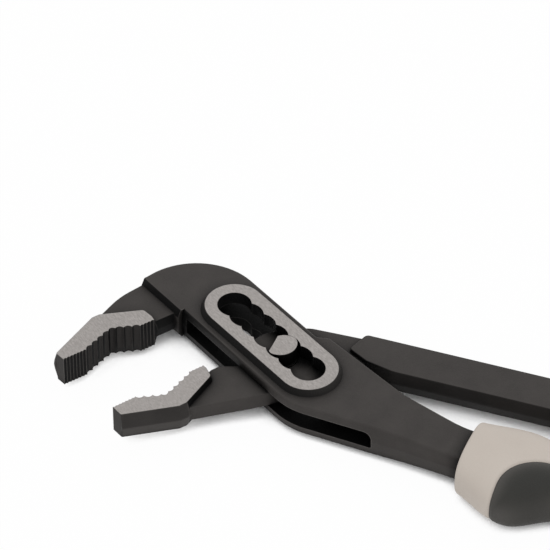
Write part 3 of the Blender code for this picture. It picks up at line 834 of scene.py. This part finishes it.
def inner_forging(tree, surface):
    """Forging with the lower jaw, the web through the box, and the upper handle."""
    web = prism("inner_forging", web_outline(), forged(WEB_THICKNESS, 0, 0, WEB_EDGE))
    handle_levels = forged(INNER_HANDLE_THICKNESS, HANDLE_RIDGE, HANDLE_SOFT, HANDLE_EDGE)
    handle = prism("inner_handle", inner_handle_outline(), handle_levels)
    jaw = jaw_mesh(LOWER, tree, surface)
    bore = skin("pin_bore", [round_ring(JOURNAL_RADIUS + FIT_GAP, height) for height in (-BOX_TOP, BOX_TOP)])
    return combined("DIFFERENCE", combined("UNION", web, jaw, handle), bore)


# Pivot


def rays():
    """Unit directions all round the pin."""
    turns = [2 * pi * i / ROUND_SIDES for i in range(ROUND_SIDES)]
    return [Vector((cos(turn), sin(turn))) for turn in turns]


def round_ring(radius, height):
    """Round ring at a height."""
    return [at_height(ray * radius, height) for ray in rays()]


def head_ring(inset, height):
    """Ring of the pin's head: round where it rests in its notch, cut by a flat and by a wider arc."""
    flat = Vector((cos(PIN_FLAT_ANGLE), sin(PIN_FLAT_ANGLE))) / PIN_FLAT
    beside = slot(HEAD_BESIDE, 0) - slot(0, 0)
    ring = []
    for ray in rays():
        lean = ray.dot(beside)
        front = lean + (lean**2 - beside.length_squared + HEAD_FRONT**2) ** 0.5
        reach = 1 / max(1 / HEAD_RADIUS, 1 / front, ray.dot(flat))
        ring.append(at_height(ray * (reach - inset), height))
    return ring


def pivot_pin():
    """Pin with a D-shaped head flush in the front slot, a journal in the web and a riveted rear end."""
    rear = RIVET_RECESS - RIM_TOP
    rivet = STUB_RADIUS + RIVET_FLARE
    rings = [round_ring(rivet * share, rear - RIVET_DOME * (1 - share**2)) for share in RIVET_RINGS]
    rings += [
        round_ring(STUB_RADIUS, rear + RIVET_FLARE),
        round_ring(STUB_RADIUS, -WEB_TOP),
        round_ring(JOURNAL_RADIUS, -WEB_TOP),
        round_ring(JOURNAL_RADIUS, WEB_TOP),
        round_ring(STUB_RADIUS, WEB_TOP),
        round_ring(STUB_RADIUS, CAVITY_TOP),
        head_ring(0, CAVITY_TOP),
    ]
    for i in range(round(pi / 2 / EDGE_STEP) + 1):
        turn = i * EDGE_STEP
        rings.append(head_ring(PIN_EDGE * (1 - cos(turn)), RIM_TOP - PIN_EDGE * (1 - sin(turn))))
    return skin("pin", rings)


def pin_collar():
    """Ring on the pin's rear end, seated in the rear slot, countersunk for the rivet."""
    bore = STUB_RADIUS + FIT_GAP
    rear = RIVET_RECESS - RIM_TOP
    soft = COLLAR_EDGE_SHARE * COLLAR_EDGE
    profile = [
        (PIN_RADIUS - COLLAR_EDGE, rear),
        (PIN_RADIUS - soft, rear + soft),
        (PIN_RADIUS, rear + COLLAR_EDGE),
        (PIN_RADIUS, -CAVITY_TOP),
        (bore, -CAVITY_TOP),
        (bore, rear + RIVET_FLARE),
        (bore + RIVET_FLARE, rear),
    ]
    return skin("collar", [round_ring(*point) for point in profile], closed=True)


# Grips, in their own frame: a along the handle, b out from its middle


def bump(along, middle, front, rear):
    """Smooth hump of height 1 with its own length on each side of its middle."""
    share = (along - middle) / (front if along < middle else rear)
    return cos(pi / 2 * share) ** 2 if abs(share) < 1 else 0


def grip_section(along, inset, sides):
    """Cross-section of a grip as rows of b and height, evenly spaced round it."""
    left = (GRIP_LENGTH - along) / GRIP_END_ROUND
    dome = 1 if left >= 1 else max(0, 1 - (1 - left) ** 2) ** 0.5
    end = GRIP_END_SHARE + (1 - GRIP_END_SHARE) * dome
    palm = PALM_SWELL * bump(along, PALM_AT, PALM_SPREAD, PALM_SPREAD)
    outward = GRIP_HALF_WIDTH + palm + GUARD_HEIGHT * bump(along, GUARD_AT, GUARD_FRONT, GUARD_REAR)
    inward = GRIP_HALF_WIDTH + THUMB_SWELL * bump(along, THUMB_AT, THUMB_FRONT, THUMB_REAR)
    turn = np.linspace(0, 2 * pi, GRIP_SAMPLES * sides + 1)
    shares = [np.copysign(np.abs(x) ** (2 / GRIP_SQUARENESS), x) for x in (np.cos(turn), np.sin(turn))]
    width = np.where(shares[0] > 0, outward, inward) * end - inset
    curve = np.stack([width * shares[0], (GRIP_HALF_THICKNESS * end - inset) * shares[1]], axis=1)
    lengths = np.concatenate([[0], np.cumsum(np.linalg.norm(np.diff(curve, axis=0), axis=1))])
    even = np.linspace(0, lengths[-1], sides, endpoint=False)
    return np.stack([np.interp(even, lengths, curve[:, axis]) for axis in (0, 1)], axis=1)


def pad_outline(grown=0):
    """Edge of the soft pad in plan, from the outer side to just past the middle."""
    far = GRIP_HALF_WIDTH + GUARD_HEIGHT + CUT_PAST
    rear = GRIP_LENGTH - PAD_REAR
    corners = [
        ((PAD_FRONT, far), 0),
        ((PAD_FRONT, PAD_EDGE), PAD_CORNER),
        ((rear, -PAD_EDGE), PAD_REAR_CORNER),
        ((rear, far), 0),
    ]
    outline = rounded(corners)
    return spread_outline(outline, [grown] * len(outline))


def seam_distance(points):
    """Distance of plan points from the pad's edge."""
    outline = np.array([tuple(point) for point in pad_outline()])
    starts, ends = outline[:-1], outline[1:]
    runs = ends - starts
    reach = points[:, None, :] - starts[None, :, :]
    share = np.clip((reach * runs).sum(-1) / (runs**2).sum(-1), 0, 1)
    return np.linalg.norm(reach - share[..., None] * runs, axis=-1).min(1)


def grip_stations():
    """Places of the sections along a grip, closest at the front edge and at both ends of the pad."""
    pad_start = PAD_FRONT - STATION_MARGIN
    rear_corner = GRIP_LENGTH - PAD_REAR - PAD_REAR_CORNER
    pad_end = GRIP_LENGTH - PAD_REAR + STATION_MARGIN
    spans = (
        (0, GRIP_FRONT_ROUND, 6),
        (GRIP_FRONT_ROUND, pad_start, 9),
        (pad_start, PAD_FRONT + PAD_CORNER, 38),
        (PAD_FRONT + PAD_CORNER, rear_corner, 40),
        (rear_corner, pad_end, 24),
    )
    stations = [start + (end - start) * i / count for start, end, count in spans for i in range(count)]
    turns = [pi / 2 * i / END_STATIONS for i in range(END_STATIONS + 1)]
    return stations + [pad_end + (GRIP_LENGTH - pad_end) * sin(turn) for turn in turns]


def placed(points, side, place):
    """Ring of (a, b, height) rows put on its handle."""
    return [at_height(place(a, side * b), height) for a, b, height in points]


def grip_surface(name, side, place):
    """Outer skin of a grip: round front edge, and a groove along the seam between sleeve and pad."""
    rings = []
    for along in grip_stations():
        lead = max(0, 1 - along / GRIP_FRONT_ROUND)
        ring = grip_section(along, GRIP_FRONT_ROUND * (1 - (1 - lead**2) ** 0.5), GRIP_SIDES)
        tangent = np.roll(ring, -1, axis=0) - np.roll(ring, 1, axis=0)
        outward = np.stack([tangent[:, 1], -tangent[:, 0]], axis=1)
        outward /= np.linalg.norm(outward, axis=1, keepdims=True)
        plan = np.stack([np.full(GRIP_SIDES, along), ring[:, 0]], axis=1)
        groove = SEAM_DEPTH * np.exp(-((seam_distance(plan) / SEAM_WIDTH) ** 2))
        ring = ring - outward * groove[:, None]
        rings.append(placed([(along, *point) for point in ring.tolist()], side, place))
    end = grip_section(GRIP_LENGTH, 0, GRIP_SIDES)
    for share in GRIP_CAP_RINGS:
        rings.append(placed([(GRIP_LENGTH, *point) for point in (end * share).tolist()], side, place))
    return skin(name, rings)


def grip_core(name, side, place, inset):
    """Inside of a grip at an inset, which the pad is moulded on."""
    rings = []
    for i in range(CORE_STATIONS + 1):
        share = i / CORE_STATIONS
        along = GRIP_LENGTH * (share - CORE_CROWDING * sin(2 * pi * share))
        ring = grip_section(along, inset, CORE_SIDES)
        rings.append(placed([(along, *point) for point in ring.tolist()], side, place))
    return skin(name, rings)


def pad_block(name, side, place, grown=0):
    """Block that bounds the soft pad in plan."""
    outline = [place(point.x, side * point.y) for point in pad_outline(grown)]
    return prism(name, outline, flat_plate(BOX_THICKNESS))


def tang_pocket(name, side, place, thickness):
    """Room for the handle's tang inside a sleeve."""
    half = HANDLE_WIDTH / 2
    ridge = BODY_RIDGE if side < 0 else HANDLE_RIDGE
    corners = ((-CUT_PAST, -half), (TANG_LENGTH, -half), (TANG_LENGTH, half), (-CUT_PAST, half))
    top = thickness / 2 + FIT_GAP
    levels = [(-top, FIT_GAP), (0, ridge + FIT_GAP), (top, FIT_GAP)]
    return prism(name, [place(a, b) for a, b in corners], levels)


def grip_pad(name, side, place):
    """Soft pad moulded in the outer side of a grip."""
    whole = grip_surface(name, side, place)
    within = combined("INTERSECT", whole, pad_block("pad_block", side, place))
    return combined("DIFFERENCE", within, grip_core("pad_core", side, place, PAD_DEPTH))


def grip_sleeve(name, side, place, thickness):
    """Hard sleeve with room for the pad and for the tang."""
    recess = pad_block("pad_recess", side, place, SEAM_GAP)
    recess = combined("DIFFERENCE", recess, grip_core("recess_core", side, place, PAD_DEPTH + FIT_GAP))
    pocket = tang_pocket("tang_pocket", side, place, thickness)
    return combined("DIFFERENCE", grip_surface(name, side, place), recess, pocket)


# Shader groups and materials


def computed(tree, operation, first, second=0.0):
    """Result of a Math node."""
    return add_node(tree, "ShaderNodeMath", {0: first, 1: second}, operation=operation).outputs[0]


def remap(tree, value, low, high, new_low, new_high):
    """Value moved from one range to another, and kept inside it."""
    ends = {"Value": value, "From Min": low, "From Max": high, "To Min": new_low, "To Max": new_high}
    return add_node(tree, "ShaderNodeMapRange", ends).outputs["Result"]


def blend_colour(tree, share, first, second):
    """Colour between two others."""
    made = add_node(tree, "ShaderNodeMix", {"Factor": share}, data_type="RGBA")
    for index, colour in ((6, first), (7, second)):
        if isinstance(colour, bpy.types.NodeSocket):
            tree.links.new(colour, made.inputs[index])
        else:
            made.inputs[index].default_value = (*colour, 1)
    return made.outputs[2]


def noise(tree, place, scale, detail):
    """Noise value at a place."""
    made = add_node(tree, "ShaderNodeTexNoise", {"Vector": place, "Scale": scale, "Detail": detail})
    return made.outputs["Fac"]


def shader_group(name, inputs, outputs):
    """Empty shader group with named sockets, and its input and output nodes."""
    tree = bpy.data.node_groups.new(name, "ShaderNodeTree")
    for socket, kind in inputs.items():
        tree.interface.new_socket(socket, in_out="INPUT", socket_type=kind)
    for socket in outputs:
        tree.interface.new_socket(socket, in_out="OUTPUT", socket_type="NodeSocketFloat")
    return tree, tree.nodes.new("NodeGroupInput"), tree.nodes.new("NodeGroupOutput")


def grain_group():
    """Blotches and fine grain over a surface."""
    inputs = {"Blotch Scale": "NodeSocketFloat", "Grain Scale": "NodeSocketFloat"}
    tree, given, result = shader_group("surface_grain", inputs, ("Blotch", "Grain"))
    place = add_node(tree, "ShaderNodeTexCoord").outputs["Object"]
    blotch = noise(tree, place, given.outputs["Blotch Scale"], 4)
    grain = noise(tree, place, given.outputs["Grain Scale"], 2)
    tree.links.new(remap(tree, blotch, 0.3, 0.7, 0, 1), result.inputs["Blotch"])
    tree.links.new(remap(tree, grain, 0.25, 0.75, 0, 1), result.inputs["Grain"])
    return tree


def wear_and_highlight_group():
    """Broken lighter line along edges: partly wear, partly painted highlight."""
    inputs = {"Radius": "NodeSocketFloat", "Break Scale": "NodeSocketFloat"}
    tree, given, result = shader_group("edge_wear_and_highlight", inputs, ("Wear And Highlight",))
    place = add_node(tree, "ShaderNodeTexCoord").outputs["Object"]
    soft = add_node(tree, "ShaderNodeBevel", {"Radius": given.outputs["Radius"]}, samples=8)
    plain_normal = add_node(tree, "ShaderNodeNewGeometry").outputs["Normal"]
    normals = {0: soft.outputs["Normal"], 1: plain_normal}
    facing = add_node(tree, "ShaderNodeVectorMath", normals, operation="DOT_PRODUCT")
    edge = remap(tree, facing.outputs["Value"], 0.985, 0.88, 0, 1)
    broken = remap(tree, noise(tree, place, given.outputs["Break Scale"], 3), 0.25, 0.6, 0.25, 1)
    tree.links.new(computed(tree, "MULTIPLY", edge, broken), result.inputs["Wear And Highlight"])
    return tree


def occlusion_shade_group():
    """How open a surface lies, for painted shade: 1 on free faces, 0 in tight corners, in hollows and where
    other parts or the floor come close.
    """
    tree, given, result = shader_group("occlusion_shade", {"Reach": "NodeSocketFloat"}, ("Open",))
    around = add_node(tree, "ShaderNodeAmbientOcclusion", {"Distance": given.outputs["Reach"]}, samples=8)
    tree.links.new(remap(tree, around.outputs["AO"], 0.6, 0.97, 0, 1), result.inputs["Open"])
    return tree


def streak_group():
    """Fine streaks that grinding leaves in one direction."""
    inputs = {"Turn": "NodeSocketVector", "Stretch": "NodeSocketVector"}
    tree, given, result = shader_group("ground_streaks", inputs, ("Streak",))
    place = add_node(tree, "ShaderNodeTexCoord").outputs["Object"]
    turned_place = add_node(tree, "ShaderNodeMapping", {"Vector": place, "Rotation": given.outputs["Turn"]})
    stretched = {0: turned_place.outputs["Vector"], 1: given.outputs["Stretch"]}
    along = add_node(tree, "ShaderNodeVectorMath", stretched, operation="MULTIPLY")
    streak = noise(tree, along.outputs["Vector"], 1, 4)
    tree.links.new(remap(tree, streak, 0.28, 0.72, 0, 1), result.inputs["Streak"])
    return tree


def use_group(tree, group, **values):
    """Outputs of a shader group placed in a material with its own values."""
    made = tree.nodes.new("ShaderNodeGroup")
    made.node_tree = group
    for name, value in values.items():
        made.inputs[name.replace("_", " ").title()].default_value = value
    return made.outputs


def new_surface(name, **constants):
    """Material with a Principled shader whose plain sockets are set, and its tree and shader."""
    surface = bpy.data.materials.new(name)
    surface.use_nodes = True
    shader = surface.node_tree.nodes["Principled BSDF"]
    for socket, value in constants.items():
        shader.inputs[socket.replace("_", " ")].default_value = value
    return surface, surface.node_tree, shader


def flecked(tree, marks, share, base, fleck):
    """Colour with a share of marks in another colour."""
    return blend_colour(tree, computed(tree, "MULTIPLY", marks, share), base, fleck)


def dress(tree, shader, colour, roughness, relief, depth, strength=0.5):
    """Colour, roughness and fine relief of a shader."""
    bumps = add_node(tree, "ShaderNodeBump", {"Height": relief, "Distance": depth, "Strength": strength})
    tree.links.new(colour, shader.inputs["Base Color"])
    tree.links.new(roughness, shader.inputs["Roughness"])
    tree.links.new(bumps.outputs["Normal"], shader.inputs["Normal"])


def forged_steel(grain, wear_and_highlight, recess):
    """Dark phosphated forging: crystal grain, painted shade in hollows and on faces turned from the light,
    and edges lighter by wear and by painted highlight.
    """
    surface, tree, shader = new_surface("phosphated_steel", Specular_IOR_Level=0.1)
    marks = use_group(tree, grain, blotch_scale=140, grain_scale=2600)
    lightened = use_group(tree, wear_and_highlight, radius=0.45 * MM, break_scale=420)["Wear And Highlight"]
    free = use_group(tree, recess, reach=5 * MM)["Open"]
    # Painted shade: faces in hollows and faces turned from the light are painted near black, from the
    # attribute marked on the forgings.
    shade_mark = add_node(tree, "ShaderNodeAttribute", attribute_name=PAINTED_SHADE).outputs["Fac"]
    base = blend_colour(tree, marks["Blotch"], (0.043, 0.039, 0.037), (0.058, 0.053, 0.05))
    speckled = flecked(tree, marks["Grain"], 0.3, base, (0.072, 0.066, 0.062))
    shaded = blend_colour(tree, shade_mark, speckled, (0.003, 0.003, 0.003))
    reached = computed(tree, "MULTIPLY", free, remap(tree, shade_mark, 0, 1, 0.75, 0.3))
    # Edges lighter: partly wear, partly painted highlight, with less of it where painted shade lies.
    worn_and_highlit = flecked(tree, lightened, reached, shaded, (0.17, 0.16, 0.152))
    # Painted shade: near black where the surface lies in corners and hollows or close to other parts.
    colour = blend_colour(tree, free, (0.001, 0.001, 0.001), worn_and_highlit)
    roughness = remap(tree, marks["Blotch"], 0, 1, 0.45, 0.58)
    dress(tree, shader, colour, roughness, marks["Grain"], 0.06 * MM)
    return surface


def ground_steel(name, streaks, grain, turn, base, bright):
    """Bright steel with grinding streaks in one direction and a dull grain."""
    surface, tree, shader = new_surface(name, Metallic=1.0)
    streak = use_group(tree, streaks, turn=(0, 0, turn), stretch=(800, 3600, 900))["Streak"]
    marks = use_group(tree, grain, blotch_scale=300, grain_scale=2000)
    lined = blend_colour(tree, streak, base, bright)
    dulled = flecked(tree, marks["Grain"], 0.45, lined, (0.21, 0.195, 0.186))
    dress(tree, shader, dulled, remap(tree, streak, 0, 1, 0.5, 0.38), streak, 0.03 * MM)
    return surface


def hard_plastic(grain, recess):
    """Warm light grey moulded sleeve with a fine spark-eroded texture, and painted shade in its creases."""
    surface, tree, shader = new_surface("hard_plastic", Specular_IOR_Level=0.35)
    marks = use_group(tree, grain, blotch_scale=60, grain_scale=3400)
    free = use_group(tree, recess, reach=1.2 * MM)["Open"]
    base = blend_colour(tree, marks["Blotch"], (0.555, 0.495, 0.44), (0.595, 0.535, 0.477))
    pitted = flecked(tree, marks["Grain"], 0.25, base, (0.48, 0.425, 0.375))
    # Painted shade: darker brown in creases and close to other parts.
    colour = blend_colour(tree, free, (0.2, 0.17, 0.145), pitted)
    roughness = remap(tree, marks["Grain"], 0, 1, 0.45, 0.6)
    dress(tree, shader, colour, roughness, marks["Grain"], 0.05 * MM)
    return surface


def soft_plastic(grain):
    """Charcoal soft pad with a dull, slightly coarser texture, and a painted highlight along its border and
    on its palm side.
    """
    surface, tree, shader = new_surface("soft_plastic", Specular_IOR_Level=0.3)
    marks = use_group(tree, grain, blotch_scale=90, grain_scale=2400)
    base = blend_colour(tree, marks["Blotch"], (0.0135, 0.0132, 0.0108), (0.019, 0.0186, 0.0153))
    dusted = flecked(tree, marks["Grain"], 0.35, base, (0.045, 0.045, 0.041))
    # Painted highlight: the pad's border and its palm side are painted lighter.
    painted_highlight_mark = add_node(tree, "ShaderNodeAttribute", attribute_name=PAINTED_HIGHLIGHT).outputs["Fac"]
    lightened = blend_colour(tree, painted_highlight_mark, dusted, (0.064, 0.06, 0.055))
    roughness = remap(tree, marks["Grain"], 0, 1, 0.55, 0.75)
    dress(tree, shader, lightened, roughness, marks["Grain"], 0.07 * MM, 0.6)
    return surface


def seen_white(tree):
    """1 for rays that show the background: from the camera, and seen in gloss or through glass."""
    path = add_node(tree, "ShaderNodeLightPath").outputs
    seen = computed(tree, "MAXIMUM", path["Is Camera Ray"], path["Is Glossy Ray"])
    return computed(tree, "MAXIMUM", seen, path["Is Transmission Ray"])


def show_white(tree, share, lit, white, output):
    """Output that is white by a share and lit by the studio for the rest."""
    mixed = add_node(tree, "ShaderNodeMixShader", {0: share, 1: lit.outputs[0], 2: white.outputs[0]})
    tree.links.new(mixed.outputs[0], tree.nodes[output].inputs["Surface"])


# Finishing and studio


def finish(mesh, body, node, slot_name, *surfaces):
    """Piece in its place on the frame, in place of a CAD node."""
    mesh.materials.clear()
    for surface in surfaces:
        mesh.materials.append(surface)
    if len(surfaces) > 1:
        grind(mesh)
        # Marks the painted shade that the steel's material reads.
        mark_painted_shade(mesh)
    mesh.shade_smooth()
    mesh.set_sharp_from_angle(angle=SHARP_ANGLE)
    mesh.transform(Matrix.Translation(HINGE))
    piece = new_object(mesh)
    normals = piece.modifiers.new("flat faces stay flat", "WEIGHTED_NORMAL")
    normals.keep_sharp = True
    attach(piece, body)
    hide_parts(node)


def grind(mesh):
    """Give the ground faces their own material: the rims' tops, the pin's ends and the jaws' sides."""
    for face in mesh.polygons:
        level = abs(face.center.z)
        ground = level > RIM_TOP - 2 * RIVET_RECESS
        if face.center.x < -JAW_TIP_REACH / 2:
            ground = any(abs(level - jaw.thickness / 2) < GROUND_PLAY for jaw in (UPPER, LOWER))
        face.material_index = int(ground and abs(face.normal.z) > GROUND_FACING)


def local(place, point, direction):
    """Point and direction as seen in a plan frame."""
    start = place(0, 0)
    axes = [place(1, 0) - start, place(0, 1) - start]
    seen = [(point.to_2d() - start).dot(axis) for axis in axes]
    return seen, [direction.to_2d().dot(axis) for axis in axes]


def jaw_shade_share(jaw, centre, normal):
    """Share of painted shade on a steep face of a jaw: its teeth, its neck, its back and the wall behind it,
    by the way each faces.
    """
    (along, back), (ahead, behind) = local(jaw.place, centre, normal)
    facing_away = ahead > WALL_FACING[0] and behind > WALL_FACING[1]
    if facing_away and abs(centre.z) > WEB_TOP and along > JAW_BACK_END - WALL_AHEAD:
        return 1
    gripping = abs(back) <= JAW_HEEL_WIDTH and 0 < along < JAW_LENGTH + NECK_SHADE
    if not gripping or behind > -GRIP_FACING:
        seen = -ahead > JAW_TIP_FACING or (behind > SIDE_FACING and centre.z > 0)
        return JAW_BACK_SHADE if jaw is LOWER and seen and along < JAW_BACK_END else 0
    if along < TIP_FLAT or JAW_LENGTH - HEEL_FLAT < along < JAW_LENGTH:
        return 1 if ahead > FINE_TOOTH_FACING else 0
    return 1 if along > JAW_LENGTH or ahead > TOOTH_FACING else TOOTH_SHADE


def side_shade_share(point, centre, along):
    """Share of painted shade on the box's front side: the step's wall, then a fade toward the handle."""
    if along < BOX_NEAR + NECK_END:
        return int(abs(centre.z) > STEP_SHADE_SHARE * NECK_THICKNESS)
    (reach, _), _ = local(slot, point, Vector((0, 0)))
    return min(1, max(0, SIDE_SHADE - (reach - SIDE_SHADE_START) / SIDE_SHADE_FADE))


def shade_share(point, centre, normal):
    """Share of painted shade at a corner of a face: in the slot and cavity, on walls turned from the light,
    and between the parts.
    """
    height = abs(centre.z)
    if abs(normal.z) > FLAT_FACING:
        return int(normal.z * centre.z < 0 and height < CAVITY_TOP + RUN_GAP)
    (along, across), (_, facing) = local(slot, centre, normal)
    if abs(across) < NOTCH_RADIUS + RUN_GAP and BOX_NEAR < along < LAST_NOTCH + NOTCH_RADIUS:
        return 1
    if height > BOX_TOP:
        return RIM_SHADE + (1 - RIM_SHADE) * max(0, -facing)
    below = -BOX_HALF_WIDTH - across
    if -SIDE_ABOVE < below < STEP_FOOT + SIDE_BELOW and facing < -SIDE_FACING:
        return side_shade_share(point, centre, along)
    inward = normal.to_2d().dot(-centre.to_2d().normalized()) > INWARD_FACING
    if inward and along > BOX_NEAR + NECK_END and height < BOX_TOP / 2:
        return 1
    (_, handle_side), (_, handle_facing) = local(inner_handle, centre, normal)
    beside_handle = centre.x > 0 and abs(handle_side + HANDLE_WIDTH / 2) < HANDLE_SHADE_WIDTH
    if beside_handle and handle_facing < -SIDE_FACING:
        return HANDLE_SHADE
    return max(jaw_shade_share(jaw, centre, normal) for jaw in (UPPER, LOWER))


def mark_painted_shade(mesh):
    """Store the share of painted shade at every corner of a piece's faces."""
    marks = mesh.attributes.new(PAINTED_SHADE, "FLOAT", "CORNER")
    for face in mesh.polygons:
        for corner in face.loop_indices:
            point = mesh.vertices[mesh.loops[corner].vertex_index].co
            marks.data[corner].value = shade_share(point, face.center, face.normal)


def mark_painted_highlight(mesh, side, place):
    """Store the painted highlight at each point of a pad: most along its border and on its palm side."""
    marks = mesh.attributes.new(PAINTED_HIGHLIGHT, "FLOAT", "POINT")
    seen = [local(place, vert.co, vert.normal) for vert in mesh.vertices]
    border = seam_distance(np.array([(a, side * b) for (a, b), _ in seen])) / PAD_BORDER
    palm = np.array([max(0, side * outward) for _, (_, outward) in seen])
    marks.data.foreach_set("value", np.maximum(np.exp(-(border**2)), palm**3))


def build_tool():
    """Every piece of the pliers with its finish."""
    grain = grain_group()
    wear_and_highlight = wear_and_highlight_group()
    streaks = streak_group()
    recess = occlusion_shade_group()
    steel = forged_steel(grain, wear_and_highlight, recess)
    face = ground_steel("ground_faces", streaks, grain, GROUND_TURN, *GROUND_TONES)
    pin = ground_steel("pin_steel", streaks, grain, PIN_TURN, *PIN_TONES)
    hard = hard_plastic(grain, recess)
    soft = soft_plastic(grain)
    tree = row_tree()
    finish(outer_forging(tree, steel), "outer", "outer_half", "outer_steel", steel, face)
    finish(inner_forging(tree, steel), "inner", "inner_half", "inner_steel", steel, face)
    finish(pivot_pin(), "inner", "pivot_pin", "pin_steel", steel, face)
    finish(pin_collar(), "collar", "pin_collar", "pin_steel", pin)
    for name, side, place, thickness in (
        ("outer", -1, outer_handle, OUTER_HANDLE_THICKNESS),
        ("inner", 1, inner_handle, INNER_HANDLE_THICKNESS),
    ):
        sleeve = grip_sleeve(f"{name}_sleeve", side, place, thickness)
        finish(sleeve, name, f"{name}_grip_sleeve", "grip_hard", hard)
        pad = grip_pad(f"{name}_pad", side, place)
        mark_painted_highlight(pad, side, place)
        finish(pad, name, f"{name}_grip_pad", "grip_soft", soft)


def studio_floor():
    """White floor that keeps a faint shadow of the tool."""
    half = FLOOR_SIZE / 2
    mesh = bpy.data.meshes.new("floor")
    corners = [(-half, -half, 0), (half, -half, 0), (half, half, 0), (-half, half, 0)]
    mesh.from_pydata(corners, [], [(0, 1, 2, 3)])
    surface, tree, shader = new_surface("white_floor", Base_Color=(0.9, 0.9, 0.9, 1), Roughness=0.9)
    glow = add_node(tree, "ShaderNodeEmission", {"Color": (1, 1, 1, 1), "Strength": 1.0})
    around = add_node(tree, "ShaderNodeAmbientOcclusion", {"Distance": FLOOR_SHADOW}, samples=8)
    free = remap(tree, around.outputs["AO"], 0.2, 0.36, 0, 0.97)
    share = computed(tree, "MULTIPLY", seen_white(tree), free)
    show_white(tree, share, shader, glow, "Material Output")
    mesh.materials.append(surface)
    floor = new_object(mesh)


def studio_light():
    """Even white surroundings, a large soft lamp above the tool and a low one in front of it."""
    world = bpy.data.worlds.new("studio")
    world.use_nodes = True
    tree = world.node_tree
    ambient = tree.nodes["Background"]
    ambient.inputs["Color"].default_value = (1, 1, 1, 1)
    ambient.inputs["Strength"].default_value = AMBIENT_LIGHT
    white = add_node(tree, "ShaderNodeBackground", {"Color": (1, 1, 1, 1), "Strength": 1.0})
    show_white(tree, seen_white(tree), ambient, white, "World Output")
    bpy.context.scene.world = world
    for name, place, size, energy in LAMPS:
        lamp = bpy.data.lights.new(name, "AREA")
        lamp.size = size
        lamp.energy = energy
        holder = new_object(lamp)
        holder.location = HINGE + Vector(place)
        holder.rotation_euler = (HINGE - holder.location).to_track_quat("-Z", "Y").to_euler()


def studio_camera():
    """Camera at the photograph's viewing angle."""
    lens = bpy.data.cameras.new("camera")
    lens.lens = CAMERA_LENS
    lens.clip_start = CAMERA_CLIP
    camera = new_object(lens)
    camera.location = HINGE + CAMERA_AT
    camera.rotation_euler = (CAMERA_AIM - CAMERA_AT).to_track_quat("-Z", "Y").to_euler()
    bpy.context.scene.camera = camera


build_tool()
studio_floor()
studio_light()
studio_camera()
bpy.context.scene.view_settings.view_transform = "Standard"
